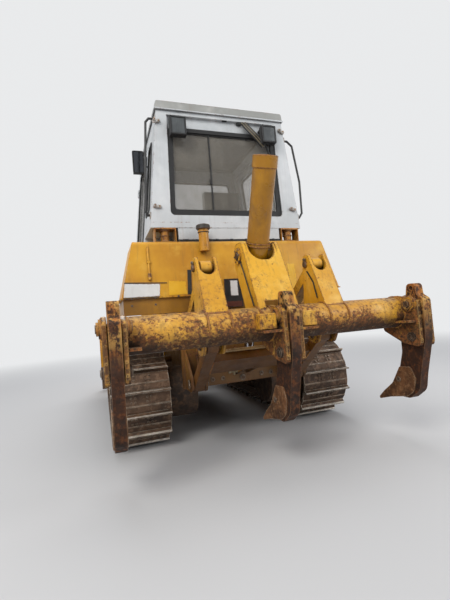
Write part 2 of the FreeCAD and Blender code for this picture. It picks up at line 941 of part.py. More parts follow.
def rear_zone(depth):
    """Everything behind a plane that lies this deep inside the cab's rear wall."""
    outline = (
        (cab_rear_base_y - 200, shelf_z),
        (cab_rear_line(shelf_z) + depth, shelf_z),
        (cab_rear_line(cab_top) + depth, cab_top),
        (cab_rear_base_y - 200, cab_top),
    )
    return prism("x", outline, -cab_base_half, cab_base_half)


def cab_rear_line(z):
    """Outer face of the cab's rear wall at a height."""
    share = (z - cab_bottom) / (cab_top - cab_bottom)
    return cab_rear_base_y + share * (cab_rear_top_y - cab_rear_base_y)


def cab_front_line(z):
    """Outer face of the cab's front wall at a height."""
    share = (z - cab_bottom) / (cab_top - cab_bottom)
    return cab_front_base_y + share * (cab_front_top_y - cab_front_base_y)


def cab_half_line(z):
    """Outer face of the cab's side wall at a height."""
    share = (z - cab_bottom) / (cab_top - cab_bottom)
    return cab_base_half + share * (cab_top_half - cab_base_half)


def front_zone(depth):
    """Everything ahead of a plane that lies this deep inside the cab's front wall."""
    outline = (
        (cab_front_line(cab_bottom) - depth, cab_bottom),
        (cab_front_base_y + 200, cab_bottom),
        (cab_front_base_y + 200, cab_top),
        (cab_front_line(cab_top) - depth, cab_top),
    )
    return prism("x", outline, -cab_base_half, cab_base_half)


def recess_outline(shrink):
    """Outline of the rear wall's recess, smaller by a distance all round."""
    return (
        (-recess_bottom_half + shrink, recess_bottom + shrink, window_radius),
        (recess_bottom_half - shrink, recess_bottom + shrink, window_radius),
        (recess_top_half - shrink, recess_top - shrink),
        (-recess_top_half + shrink, recess_top - shrink),
    )


def rear_window(shrink):
    """Outline of the rear window, smaller by a distance all round."""
    low_half = recess_bottom_half - seal_width - shrink
    high_half = recess_top_half - seal_width - shrink
    return (
        (-low_half, recess_bottom + seal_width + shrink, window_radius),
        (low_half, recess_bottom + seal_width + shrink, window_radius),
        (high_half, window_top - shrink, window_radius),
        (-high_half, window_top - shrink, window_radius),
    )


def rear_seal():
    """Thick rubber frame round the rear window, lying in the recess."""
    rear_y = cab_rear_line(recess_bottom) + recess_depth - seal_depth
    outline = (
        (-recess_bottom_half + seat_gap, recess_bottom + seat_gap, window_radius),
        (recess_bottom_half - seat_gap, recess_bottom + seat_gap, window_radius),
        (recess_top_half - seat_gap - 2, window_top + seal_width - 12, window_radius),
        (-recess_top_half + seat_gap + 2, window_top + seal_width - 12, window_radius),
    )
    ring = prism("y", outline, rear_y, rear_y + seal_depth)
    return take(ring, [prism("y", rear_window(-4), rear_y - 5, rear_y + seal_depth + 5)])


def front_window(shrink):
    """Outline of the front window, smaller by a distance all round."""
    return (
        (-front_window_bottom_half + shrink, front_window_bottom + shrink, 60),
        (front_window_bottom_half - shrink, front_window_bottom + shrink, 60),
        (front_window_top_half - shrink, front_window_top - shrink, 60),
        (-front_window_top_half + shrink, front_window_top - shrink, 60),
    )


def door_outline(shrink):
    """Outline of the door's opening, smaller by a distance all round."""
    return (
        (door_rear_y + shrink, door_bottom + shrink, 40),
        (door_front_y - shrink, door_bottom + shrink, 40),
        (door_front_y - door_slope - shrink, door_top - shrink, 60),
        (door_rear_y + shrink, door_top - shrink, 60),
    )


def door_window(shrink):
    """Outline of the window in a door, smaller by a distance all round."""
    margin = door_window_margin + shrink
    return (
        (door_rear_y + margin, door_window_bottom + shrink, 60),
        (door_front_y - 40 - margin, door_window_bottom + shrink, 60),
        (door_front_y - door_slope - margin, door_top - margin, 60),
        (door_rear_y + margin, door_top - margin, 60),
    )


def quarter_window(shrink):
    """Outline of the small fixed window behind the door, smaller by a distance all round."""
    return (
        (quarter_rear_y + shrink, quarter_bottom + shrink, 50),
        (quarter_front_y - shrink, quarter_bottom + shrink, 50),
        (quarter_front_y - shrink, quarter_top - shrink, 50),
        (quarter_rear_y + 55 + shrink, quarter_top - shrink, 50),
    )


def cab_pieces():
    """Cab panels, doors and panes by node name."""
    shell = cab_block(0).cut(cab_block(cab_wall))
    reach = cab_base_half + 100
    skirt_y = cab_rear_line(shelf_z) + 4
    floor_zone = join([
        box(-reach, reach, shelf_front_y, cab_front_base_y + 50, cab_bottom, cab_bottom + cab_wall),
        box(-reach, reach, cab_rear_base_y - 50, shelf_front_y + cab_wall, shelf_z, shelf_z + cab_wall),
        box(-reach, reach, shelf_front_y, shelf_front_y + cab_wall, cab_bottom, shelf_z + cab_wall),
    ])
    skirt = box(-skirt_half, skirt_half, skirt_y, skirt_y + skirt_plate, skirt_bottom, shelf_z + 5)
    floor = join([shell.common(floor_zone), skirt])
    rest = shell.cut(floor_zone)
    roof_zone = box(-reach, reach, cab_rear_base_y - 50, cab_front_base_y + 50, roof_split_z, cab_top + 10)
    roof = rest.common(roof_zone)
    rest = rest.cut(roof_zone)
    rear = rest.common(rear_zone(cab_wall))
    front = rest.common(front_zone(cab_wall))
    rest = rest.cut([rear_zone(cab_wall), front_zone(cab_wall)])
    right = rest.common(box(0, reach, -500, 3000, 0, 4000))
    window_y = (cab_rear_base_y - 100, cab_rear_base_y + 400)
    rear_cut = prism("y", rear_window(0), *window_y)
    recess = prism("y", recess_outline(0), *window_y).common(rear_zone(recess_depth))
    front_y = (cab_front_top_y - 200, cab_front_base_y + 100)
    front_cut = prism("y", front_window(0), *front_y)
    door_cut = prism("x", door_outline(0), 0, reach)
    quarter_cut = prism("x", quarter_window(0), 0, reach)
    door = right.common(prism("x", door_outline(door_gap), 0, reach))
    door = door.cut(prism("x", door_window(0), 0, reach))
    side = right.cut([door_cut, quarter_cut])
    inset = cab_block(glass_inset).cut(cab_block(glass_inset + glass_thickness))
    deep = recess_depth + 3
    deep_inset = cab_block(deep).cut(cab_block(deep + glass_thickness))
    rear_pane = deep_inset.common(prism("y", rear_window(seat_gap), *window_y))
    front_pane = inset.common(prism("y", front_window(seat_gap), *front_y))
    door_pane = inset.common(prism("x", door_window(seat_gap), 100, reach))
    quarter_pane = inset.common(prism("x", quarter_window(seat_gap), 100, reach))
    door = join([door] + door_hinges(True))
    side = join([side] + door_hinges(False))
    roof_top = roof_cap()
    return {
        "cab_floor": floor.removeSplitter(),
        "cab_roof": join([roof, roof_top]),
        "cab_rear_wall": take(rear, [rear_cut, recess]),
        "cab_rear_seal": rear_seal(),
        "cab_front_wall": take(front, [front_cut]),
        "cab_sides": pair(side),
        "cab_door_right": door,
        "cab_door_left": mirrored(door),
        "cab_glass": Part.makeCompound([rear_pane, front_pane, pair(quarter_pane)]),
        "door_glass_right": door_pane.removeSplitter(),
        "door_glass_left": mirrored(door_pane.removeSplitter()),
    }


def roof_cap():
    """Roof plate that stands a little proud of the walls."""
    low = cab_top - roof_plate
    over = roof_overhang
    outline = (
        (-cab_half_line(low) - over, low),
        (cab_half_line(low) + over, low),
        (cab_half_line(cab_top) + over, cab_top, 25),
        (-cab_half_line(cab_top) - over, cab_top, 25),
    )
    plate = prism("y", outline, cab_rear_line(low) - over, cab_front_line(low) + over)
    return plate.cut(cab_block(cab_wall))


def hinge_line():
    """Two points on the right door's hinge axis, outside the wall at the door's front edge."""
    spots = []
    for z in (door_bottom, door_top):
        share = (z - door_bottom) / (door_top - door_bottom)
        y = door_front_y - share * door_slope
        spots.append(Vector(cab_half_line(z) + door_hinge_out, y - door_gap / 2, z))
    return spots


def door_hinges(on_door):
    """Knuckles of the right door's two hinges, with the leaf that carries them."""
    low, high = hinge_line()
    along = (high - low).normalize()
    pieces = []
    for share in (0.16, 0.84):
        middle = low + (high - low) * share
        if on_door:
            spot = middle
            knuckle = rod(spot, spot + along * 40, 11)
            hole = rod(spot - along, spot + along * 41, 6 + pin_clearance)
            leaf = box(
                middle.x - 40, middle.x + 2, middle.y - 60, middle.y - 8, middle.z + 4, middle.z + 34,
            )
            pieces.append(join([knuckle, leaf]).cut(hole))
        else:
            knuckle = rod(middle - along * 41, middle - along, 11)
            pin = rod(middle - along * 2, middle + along * 40, 6)
            leaf = box(
                middle.x - 40, middle.x + 2, middle.y + 6, middle.y + 60, middle.z - 36, middle.z - 6,
            )
            pieces.append(join([knuckle, pin, leaf]))
    return pieces


def cab_mount(x, y, low, high):
    """One cushioned bracket: foot and head plates, two end gussets and a round rubber block."""
    half = cab_mount_width / 2
    depth = cab_mount_depth
    plate = cab_mount_plate
    pieces = [
        box(x - half, x + half, y, y + depth, low, low + plate),
        box(x - half, x + half, y, y + depth, high - plate, high),
        box(x - half, x - half + 10, y, y + depth, low, high),
        box(x + half - 10, x + half, y, y + depth, low, high),
        Part.makeCylinder(cab_mount_rubber, high - low, Vector(x, y + depth / 2, low), AXIS_Z),
    ]
    return join(pieces)


def cab_mounts():
    """Brackets between the deck or tank and the cab, two each side."""
    posts = []
    for side in (-1, 1):
        x = side * (cab_mount_inner + cab_mount_width / 2)
        posts.append(cab_mount(x, cab_mount_y, tank_top, shelf_z))
        posts.append(cab_mount(x, cab_front_base_y - 220, case_top + platform_plate, cab_bottom))
    return Part.makeCompound(posts)


def seat():
    """Driver's seat as one plain padded form on its pedestal."""
    floor = cab_bottom + cab_wall
    shelf = shelf_front_y + cab_wall
    front = seat_back_y + 60 + 480
    outline = (
        (shelf + 20, floor + 260),
        (front, floor + 260, 30),
        (front, seat_base_top, 50),
        (shelf + 150, seat_base_top - 20, 30),
        (shelf + 120, seat_back_top, 50),
        (shelf + 20, seat_back_top, 50),
    )
    return prism("x", outline, seat_x - seat_half, seat_x + seat_half)


def seat_base():
    """Pedestal under the seat and the low consoles at both sides of it."""
    floor = cab_bottom + cab_wall
    shelf = shelf_front_y + cab_wall
    low = seat_x - 170
    pedestal = box(low, low + 340, shelf + 60, shelf + 420, floor, floor + 260 - seat_gap)
    return pedestal


def consoles():
    """Control boxes beside the seat with their levers, and the dash under the front window."""
    floor = cab_bottom + cab_wall
    shelf = shelf_front_y + cab_wall
    pieces = []
    for side in (-1, 1):
        middle = seat_x + side * (seat_half + 40 + console_half)
        body = box(middle - console_half, middle + console_half, shelf + 60, shelf + 520, floor, floor + 560)
        lever = rod(Vector(middle, shelf + 440, floor + 550), Vector(middle, shelf + 470, floor + 760), 9)
        knob = Part.makeSphere(24, Vector(middle, shelf + 472, floor + 775))
        pieces.append(join([body, lever, knob]))
    front = cab_front_line(floor) - cab_wall - 40
    dash = box(-330, 330, front - 170, front, floor, front_window_bottom - 60)
    pieces.append(dash)
    return Part.makeCompound(pieces)


def rear_lamps():
    """Two square work lamps in the top corners of the rear wall's recess."""
    lamps = []
    for side in (-1, 1):
        x = side * lamp_spread
        y = cab_rear_line(lamp_z)
        body = box(
            x - lamp_size / 2, x + lamp_size / 2, y - lamp_depth, y - 12,
            lamp_z - lamp_height / 2, lamp_z + lamp_height / 2,
        )
        foot_z = lamp_z + lamp_height / 2 - 20
        foot = box(x - 20, x + 20, y - 14, y + recess_depth + 20, foot_z - 18, foot_z + 18)
        wall = rear_zone(recess_depth)
        lamps.append(join([body, foot]).common(wall))
    return Part.makeCompound(lamps)


def front_lamps():
    """Two work lamps on the radiator guard's top corners."""
    lamps = []
    for side in (-1, 1):
        x = side * (guard_half_width - 120)
        y = hood_front_y + 30
        stem = box(x - 15, x + 15, y + 20, y + 50, guard_top, guard_top + 60)
        body = box(x - 70, x + 70, y, y + 80, guard_top + 50, guard_top + 180)
        lamps.append(join([stem, body]))
    return Part.makeCompound(lamps)


def bent_rail(points, radius):
    """Round rail through straight runs with ball corners."""
    pieces = []
    for start, end in zip(points[:-1], points[1:]):
        pieces.append(rod(start, end, radius))
    for corner in points[1:-1]:
        pieces.append(Part.makeSphere(radius, corner))
    return join(pieces)


def handrails():
    """Grab rails beside the cab's rear corners, each held by two stand-offs."""
    rails = []
    for side, high_z, turns in rail_rows:
        points = []
        for share, out in turns:
            z = rail_low_z + share * (high_z - rail_low_z)
            points.append(Vector(side * (cab_half_line(z) + out), cab_rear_line(z) + rail_rear_y, z))
        rails.append(bent_rail(points, rail_radius).cut(cab_block(0)))
    return Part.makeCompound(rails)


def mirror():
    """Rear view mirror on a short arm at the cab's left side."""
    x = -cab_half_line(mirror_z)
    arm = rod(Vector(x + 20, mirror_foot_y, mirror_z), Vector(x - 110, mirror_y + 25, mirror_z), 9)
    arm = arm.cut(cab_block(0))
    centre = x - 110
    head = box(
        centre - mirror_width / 2, centre + mirror_width / 2, mirror_y, mirror_y + 34,
        mirror_z - mirror_height / 2, mirror_z + mirror_height / 2,
    )
    return join([arm, head])


def lift_geometry():
    """Top pin, lower eye, unit direction and distance of a blade lift cylinder, in (y, z)."""
    top = (lift_top_y, lift_top_z)
    eye = (trunnion_y + lift_eye_reach, trunnion_z + lift_eye_up)
    direction, length = unit_yz(top, eye)
    return top, eye, direction, length


def along_spot(start, direction, distance, x):
    """Point at a distance from a (y, z) spot, at a given X."""
    return Vector(x, start[0] + direction[0] * distance, start[1] + direction[1] * distance)


def lift_barrel():
    """Right lift cylinder's barrel with its trunnion stub."""
    top, eye, direction, length = lift_geometry()

    def at(distance):
        return along_spot(top, direction, distance, lift_x)

    tube = rod(at(-lift_barrel_up), at(lift_barrel_down), lift_barrel_radius)
    ring = rod(at(-45), at(45), lift_barrel_radius + 14)
    gland = rod(at(lift_barrel_down - 40), at(lift_barrel_down), lift_barrel_radius + 8)
    bore = rod(at(-lift_barrel_up + 20), at(lift_barrel_down - 22), lift_bore_radius)
    mouth = rod(at(lift_barrel_down - 23), at(lift_barrel_down + 1), lift_rod_radius + pin_clearance)
    stub = cross_rod(hood_half_width + 32, lift_x - lift_barrel_radius, top, lift_stub_radius)
    return take(join([tube, ring, gland, stub]), [bore, mouth])


def lift_rod():
    """Right lift cylinder's rod with piston and eye."""
    top, eye, direction, length = lift_geometry()

    def at(distance):
        return along_spot(top, direction, distance, lift_x)

    piston_at = length - lift_rod_length
    bar = rod(at(piston_at), at(length - 20), lift_rod_radius)
    piston = rod(at(piston_at - 15), at(piston_at + 15), lift_bore_radius - 2 * pin_clearance)
    ring = cross_rod(lift_x - lift_eye_half, lift_x + lift_eye_half, eye, lift_eye_radius)
    return join([bar, piston, ring])


def lift_posts():
    """Upright plates on the frame rails with the bearings for the lift cylinders."""
    plate_in = hood_half_width + 2
    plate_out = hood_half_width + 27
    outline = (
        (lift_top_y - 150, rail_bottom + 20),
        (lift_top_y + 150, rail_bottom + 20),
        (lift_top_y + 150, 1100),
        (lift_top_y + 75, lift_top_z + 70, 60),
        (lift_top_y - 75, lift_top_z + 70, 60),
        (lift_top_y - 150, 1100),
    )
    plate = prism("x", outline, plate_in, plate_out)
    spacer = box(
        hull_half_width, plate_in, lift_top_y - 150, lift_top_y + 150, rail_bottom + 20, rail_top - 10
    )
    spot = (lift_top_y, lift_top_z)
    boss = cross_rod(plate_out, lift_x - lift_barrel_radius - 22, spot, lift_stub_radius + 22)
    bore = cross_rod(plate_in - 5, lift_x, spot, lift_stub_radius + pin_clearance)
    return pair(take(join([plate, spacer, boss]), [bore]))


def blade_frame():
    """C-shaped push frame: two arms inside the tracks, a cross beam and the nose pin."""
    spot = (trunnion_y, trunnion_z)
    arms = []
    for side in (-1, 1):
        low = min(side * arm_inner_x, side * arm_outer_x)
        high = max(side * arm_inner_x, side * arm_outer_x)
        bar = box(
            low, high, trunnion_y, cross_rear_y + 10,
            trunnion_z - arm_half_height, trunnion_z + arm_half_height,
        )
        eye = cross_rod(low, high, spot, trunnion_eye_radius)
        hole = cross_rod(low - 5, high + 5, spot, trunnion_radius + pin_clearance)
        arms.append(join([bar, eye]).cut(hole))
        arms.extend(lift_lugs(side))
    cross = box(
        -arm_outer_x, arm_outer_x, cross_rear_y, cross_front_y,
        trunnion_z - cross_half_height, trunnion_z + cross_half_height,
    )
    nose = box(
        -nose_half_width, nose_half_width, cross_front_y, nose_front_y, trunnion_z - 70, trunnion_z + 70
    )
    pin = rod(
        Vector(0, nose_front_y, trunnion_z), Vector(0, nose_front_y + nose_pin_length, trunnion_z),
        nose_pin_radius,
    )
    bracket = [
        box(
            tilt_barrel_x - 60, tilt_barrel_x + 60, cross_front_y, tilt_y - tilt_eye_half - 6 - lug_plate,
            trunnion_z + 20, tilt_barrel_z - 55,
        ),
        prism("y", (
            (tilt_barrel_x - 60, trunnion_z + 20),
            (tilt_barrel_x + 60, trunnion_z + 20),
            (tilt_barrel_x + 45, tilt_barrel_z + 45, 44),
            (tilt_barrel_x - 45, tilt_barrel_z + 45, 44),
        ), tilt_y - tilt_eye_half - 6 - lug_plate, tilt_y - tilt_eye_half - 6),
        rod(
            Vector(tilt_barrel_x, tilt_y - tilt_eye_half - 6, tilt_barrel_z),
            Vector(tilt_barrel_x, tilt_y + tilt_eye_half + 6, tilt_barrel_z), 16,
        ),
        rod(
            Vector(tilt_barrel_x, tilt_y + tilt_eye_half + 1, tilt_barrel_z),
            Vector(tilt_barrel_x, tilt_y + tilt_eye_half + 8, tilt_barrel_z), 26,
        ),
    ]
    return join(arms + [cross, nose, pin] + bracket)


def lift_lugs(side):
    """Two plates on a push arm, with a pin head on the outside of each, either side of the rod's eye."""
    top, eye, direction, length = lift_geometry()
    pieces = []
    low_z = trunnion_z + arm_half_height
    for face in (-1, 1):
        middle = side * lift_x + face * (lift_eye_half + moving_gap + lug_plate / 2)
        outline = (
            (eye[0] - 70, low_z - 5),
            (eye[0] + 70, low_z - 5),
            (eye[0] + 42, eye[1] + 42, 40),
            (eye[0] - 42, eye[1] + 42, 40),
        )
        pieces.append(prism("x", outline, middle - lug_plate / 2, middle + lug_plate / 2))
        outside = middle + face * lug_plate / 2
        low = min(outside, outside + face * 6)
        pieces.append(cross_rod(low, low + 6, eye, 24))
    return pieces


def tilt_geometry():
    """Barrel eye, rod eye, unit direction and distance of the blade's tilt cylinder, in (x, z)."""
    start = (tilt_barrel_x, tilt_barrel_z)
    end = (tilt_rod_x, tilt_rod_z)
    length = math.hypot(end[0] - start[0], end[1] - start[1])
    return start, end, ((end[0] - start[0]) / length, (end[1] - start[1]) / length), length


def tilt_barrel():
    """Tilt cylinder's barrel, which swings on the push frame's lug."""
    start, end, direction, length = tilt_geometry()

    def at(distance):
        return Vector(start[0] + direction[0] * distance, tilt_y, start[1] + direction[1] * distance)

    tube = rod(at(70), at(tilt_barrel_length), tilt_barrel_radius)
    centre = Vector(start[0], tilt_y - tilt_eye_half, start[1])
    eye = Part.makeCylinder(tilt_eye_radius, 2 * tilt_eye_half, centre, AXIS_Y)
    hole = Part.makeCylinder(16 + pin_clearance, 200, centre - Vector(0, 60, 0), AXIS_Y)
    bore = rod(at(90), at(tilt_barrel_length - 20), tilt_bore_radius)
    mouth = rod(at(tilt_barrel_length - 21), at(tilt_barrel_length + 1), tilt_rod_radius + pin_clearance)
    neck = rod(at(20), at(72), tilt_eye_half - 3)
    return take(join([tube, eye, neck]), [hole, bore, mouth])


def tilt_rod():
    """Tilt cylinder's rod with its piston and eye."""
    start, end, direction, length = tilt_geometry()

    def at(distance):
        return Vector(start[0] + direction[0] * distance, tilt_y, start[1] + direction[1] * distance)

    bar = rod(at(220), at(length - 12), tilt_rod_radius)
    piston = rod(at(205), at(235), tilt_bore_radius - 2 * pin_clearance)
    centre = Vector(end[0], tilt_y - tilt_eye_half, end[1])
    eye = Part.makeCylinder(tilt_eye_radius, 2 * tilt_eye_half, centre, AXIS_Y)
    return join([bar, piston, eye])


def blade():
    """Curved mouldboard with a box beam, ribs, end plates and hub behind it."""
    front = (
        Vector(0, blade_edge_y, blade_bottom + edge_height),
        Vector(0, blade_belly_y, (blade_bottom + blade_top) / 2 + 60),
        Vector(0, blade_top_y, blade_top),
    )
    back = [spot - Vector(0, blade_plate, 0) for spot in front]
    edges = [
        Part.Arc(*front).toShape(),
        Part.LineSegment(front[2], back[2]).toShape(),
        Part.Arc(back[2], back[1], back[0]).toShape(),
        Part.LineSegment(back[0], front[0]).toShape(),
    ]
    wide = Vector(2 * blade_half_width, 0, 0)
    board = Part.Face(Part.Wire(edges)).extrude(wide)
    board.translate(Vector(-blade_half_width, 0, 0))
    lower = prism("x", (
        (beam_rear_y, beam_low_z),
        (blade_edge_y - 20, blade_bottom + edge_height - 60),
        (blade_edge_y - 20, blade_bottom + edge_height + 20),
        (blade_belly_y - 10, beam_high_z),
        (beam_rear_y, beam_high_z),
    ), -beam_half_length, beam_half_length)
    void = Part.Face(Part.Wire([
        Part.Arc(*front).toShape(),
        Part.LineSegment(front[2], front[2] + Vector(0, 400, 0)).toShape(),
        Part.LineSegment(front[2] + Vector(0, 400, 0), front[0] + Vector(0, 400, 0)).toShape(),
        Part.LineSegment(front[0] + Vector(0, 400, 0), front[0]).toShape(),
    ])).extrude(wide)
    void.translate(Vector(-blade_half_width, 0, 0))
    upper = box(
        -beam_half_length, beam_half_length, blade_belly_y - 90, blade_belly_y + 30,
        blade_top - 190, blade_top - 110,
    )
    ribs = []
    for x in [side * place for side in (-1, 1) for place in rib_places]:
        ribs.append(box(x - 10, x + 10, beam_rear_y + 30, blade_belly_y + 20, beam_high_z, blade_top - 110))
    hub = box(-140, 140, nose_front_y + moving_gap, beam_rear_y, trunnion_z - 120, trunnion_z + 90)
    hole = rod(
        Vector(0, nose_front_y, trunnion_z), Vector(0, nose_front_y + nose_pin_length + 2, trunnion_z),
        nose_pin_radius + pin_clearance,
    )
    start, end, direction, length = tilt_geometry()
    lug = [
        box(end[0] - 50, end[0] + 50, tilt_y + tilt_eye_half + moving_gap + lug_plate, blade_belly_y,
            end[1] - 60, end[1] + 60),
        box(end[0] - 50, end[0] + 50, tilt_y + tilt_eye_half + moving_gap,
            tilt_y + tilt_eye_half + moving_gap + lug_plate, end[1] - 60, end[1] + 60),
        box(end[0] - 50, end[0] + 50, tilt_y - tilt_eye_half - moving_gap - lug_plate,
            tilt_y + tilt_eye_half + moving_gap + lug_plate, end[1] + 60, end[1] + 80),
        box(end[0] - 50, end[0] + 50, tilt_y - tilt_eye_half - moving_gap - lug_plate,
            tilt_y - tilt_eye_half - moving_gap, end[1] - 60, end[1] + 60),
    ]
    body = join([board, lower, upper, hub] + ribs + lug)
    return take(body, [hole, void, cutting_edge()])


def cutting_edge():
    """Bolted edge along the blade's foot, with its end bits."""
    outline = (
        (blade_edge_y, blade_bottom),
        (blade_edge_y + edge_plate, blade_bottom),
        (blade_edge_y + 8, blade_bottom + edge_height),
        (blade_edge_y - blade_plate, blade_bottom + edge_height),
    )
    return prism("x", outline, -blade_half_width, blade_half_width)


def ripper_mount():
    """Heavy plate on the rear case with the pin brackets for links and ram."""
    plate = box(
        -mount_half_width, mount_half_width, mount_plate_rear_y, case_rear_y, mount_bottom, mount_top
    )
    pieces = [plate]
    pins = []
    # Pin, eye radius, foot and top of the cheeks on the plate
    brackets = (
        (upper_pin_hull, 50, upper_pin_hull[1] - 80, upper_pin_hull[1] + 50),
        (lower_pin_hull, 58, lower_pin_hull[1] - 55, lower_bracket_top),
    )
    for side in (-1, 1):
        for pin, radius, low_z, high_z in brackets:
            for face in (-1, 1):
                inner = side * link_x + face * (link_half + mount_gap)
                outer = inner + face * mount_cheek
                outline = (
                    (mount_plate_rear_y + 5, low_z),
                    (mount_plate_rear_y + 5, high_z),
                    (pin[0] - radius, pin[1] + radius, radius),
                    (pin[0] - radius, pin[1] - radius, radius),
                )
                pieces.append(prism("x", outline, min(inner, outer), max(inner, outer)))
            reach = link_half + mount_gap + mount_cheek + 8
            pins.append(cross_rod(side * link_x - reach, side * link_x + reach, pin, link_pin_radius))
    for face in (-1, 1):
        inner = face * (ram_eye_half + moving_gap)
        outer = inner + face * ram_cheek
        outline = (
            (mount_plate_rear_y + 5, ram_foot[1] - 130),
            (mount_plate_rear_y + 5, ram_foot[1] + 130),
            (ram_foot[0] - 62, ram_foot[1] + 62, 60),
            (ram_foot[0] - 62, ram_foot[1] - 62, 60),
        )
        pieces.append(prism("x", outline, min(inner, outer), max(inner, outer)))
        low = min(outer, outer + face * 10)
        pieces.append(cross_rod(low, low + 10, ram_foot, 34))
    return join(pieces + pins)


def link_bar(start, end, low, high, height):
    """Flat link with round eyes and pin holes."""
    (uy, uz), length = unit_yz(start, end)
    half = height / 2
    outline = (
        (start[0] + uz * half, start[1] - uy * half),
        (end[0] + uz * half, end[1] - uy * half),
        (end[0] - uz * half, end[1] + uy * half),
        (start[0] - uz * half, start[1] + uy * half),
    )
    pieces = [prism("x", outline, low, high)]
    pieces.append(cross_rod(low, high, start, link_eye_radius))
    pieces.append(cross_rod(low, high, end, link_eye_radius))
    holes = [cross_rod(low - 5, high + 5, spot, link_pin_radius + pin_clearance) for spot in (start, end)]
    return take(join(pieces), holes)


def upper_links():
    """Two upper links of the ripper."""
    low = link_x - link_half
    return pair(link_bar(upper_pin_hull, upper_pin_frame, low, low + 2 * link_half, link_height))


def lower_link():
    """Lower link frame: two bars tied by a cross box with a top plate."""
    bar = link_bar(lower_pin_hull, lower_pin_frame, link_x - link_half, link_x + link_half, link_height)
    (uy, uz), length = unit_yz(lower_pin_hull, lower_pin_frame)

    def at(along, out):
        return (
            lower_pin_hull[0] + uy * along + uz * out,
            lower_pin_hull[1] + uz * along - uy * out,
        )

    inner = link_x - link_half
    outline = (at(240, -35), at(240, 35), at(430, 35), at(430, -35))
    cross = prism("x", outline, -inner, inner)
    strip = prism("x", (at(270, 35), at(270, 47), at(450, 47), at(450, 35)), -320, 320)
    return join([bar, mirrored(bar), cross, strip])


def rear_edge_y(z):
    """Rear face of the ripper's upright plates at a height."""
    share = (z - rear_edge_low[1]) / (rear_edge_high[1] - rear_edge_low[1])
    return rear_edge_low[0] + share * (rear_edge_high[0] - rear_edge_low[0])


def ripper_arm():
    """Right upright of the ripper: two cheeks, a rear plate with a notch and both pins."""
    outline = (
        (rear_edge_y(beam_z), beam_z),
        (rear_edge_y(arm_top_z), arm_top_z, 35),
        (upper_pin_frame[0] + 40, arm_top_z, 60),
        (lower_pin_frame[0] + 105, beam_z + 80, 60),
        (lower_pin_frame[0] + 85, lower_pin_frame[1] - 66, 64),
        (lower_pin_frame[0] - 62, lower_pin_frame[1] - 66, 50),
        (beam_y, beam_z - 60),
    )
    pieces = []
    for face in (-1, 1):
        inner = link_x + face * arm_inner_half
        outer = link_x + face * arm_outer_half
        pieces.append(prism("x", outline, min(inner, outer), max(inner, outer)))
    back = prism("x", (
        (rear_edge_y(beam_z), beam_z),
        (rear_edge_y(arm_top_z), arm_top_z),
        (rear_edge_y(arm_top_z) + arm_plate, arm_top_z),
        (rear_edge_y(beam_z) + arm_plate, beam_z),
    ), link_x - arm_inner_half, link_x + arm_inner_half)
    notch_half = link_half + 15
    notch = prism("y", (
        (link_x - notch_half, upper_pin_frame[1] - 62, notch_half - 2),
        (link_x + notch_half, upper_pin_frame[1] - 62, notch_half - 2),
        (link_x + notch_half, arm_top_z + 60),
        (link_x - notch_half, arm_top_z + 60),
    ), upper_pin_frame[0] - 120, upper_pin_frame[0])
    back = back.cut(notch)
    reach = arm_outer_half + 8
    for pin in (upper_pin_frame, lower_pin_frame):
        pieces.append(cross_rod(link_x - reach, link_x + reach, pin, link_pin_radius))
    body = join(pieces + [back])
    tube = cross_rod(0, 2 * link_x, (beam_y, beam_z), beam_radius)
    return take(body, [tube])


def ripper_tower():
    """Centre tower of the ripper, with bearings for the ram's trunnions and a notch for its barrel."""
    crown_z = ram_pin[1] + 105
    outline = (
        (rear_edge_y(beam_z), beam_z),
        (rear_edge_y(arm_top_z), arm_top_z),
        (ram_pin[0] - 70, crown_z, 50),
        (ram_pin[0] + 95, crown_z, 90),
        (ram_pin[0] + 95, ram_pin[1] - 60, 60),
        (beam_y + 150, beam_z + 20),
        (beam_y, beam_z),
    )
    pieces = []
    for face in (-1, 1):
        inner = face * tower_inner_half
        outer = face * tower_outer_half
        pieces.append(prism("x", outline, min(inner, outer), max(inner, outer)))
        low = min(outer, outer + face * 14)
        pieces.append(cross_rod(low, low + 14, ram_pin, ram_stub_radius + 26))
    back = prism("x", (
        (rear_edge_y(beam_z), beam_z),
        (rear_edge_y(arm_top_z), arm_top_z),
        (ram_pin[0] - 70, crown_z - 15),
        (ram_pin[0] - 70 + tower_plate, crown_z - 15),
        (rear_edge_y(arm_top_z) + tower_plate, arm_top_z),
        (rear_edge_y(beam_z) + tower_plate, beam_z),
    ), -tower_inner_half, tower_inner_half)
    notch_half = ram_collar_radius + 14
    notch = prism("y", (
        (-notch_half, ram_pin[1] - 55, notch_half - 12),
        (notch_half, ram_pin[1] - 55, notch_half - 12),
        (notch_half, crown_z + 95),
        (-notch_half, crown_z + 95),
    ), ram_pin[0] - 210, ram_pin[0])
    body = join(pieces + [back.cut(notch)])
    holes = [cross_rod(-300, 300, ram_pin, ram_stub_radius + pin_clearance)]
    holes.append(cross_rod(-300, 300, (beam_y, beam_z), beam_radius))
    # The middle pocket with its shank and pin passes between the two halves of the tower's foot
    reach = shank_half + pocket_gap + pocket_plate + pocket_boss_length + shank_pin_head_length
    holes.append(box(
        -reach, reach, pocket_rear_y - 50, beam_y,
        beam_z - beam_radius, pocket_high_z + 30,
    ))
    holes.append(pocket_cheek(-shank_half - pocket_gap - pocket_plate, -shank_half - pocket_gap))
    holes.append(pocket_cheek(shank_half + pocket_gap, shank_half + pocket_gap + pocket_plate))
    return take(body, holes)


def ram_geometry():
    """Unit direction from the ram's trunnion to its foot, with their distance, in (y, z)."""
    return unit_yz(ram_pin, ram_foot)


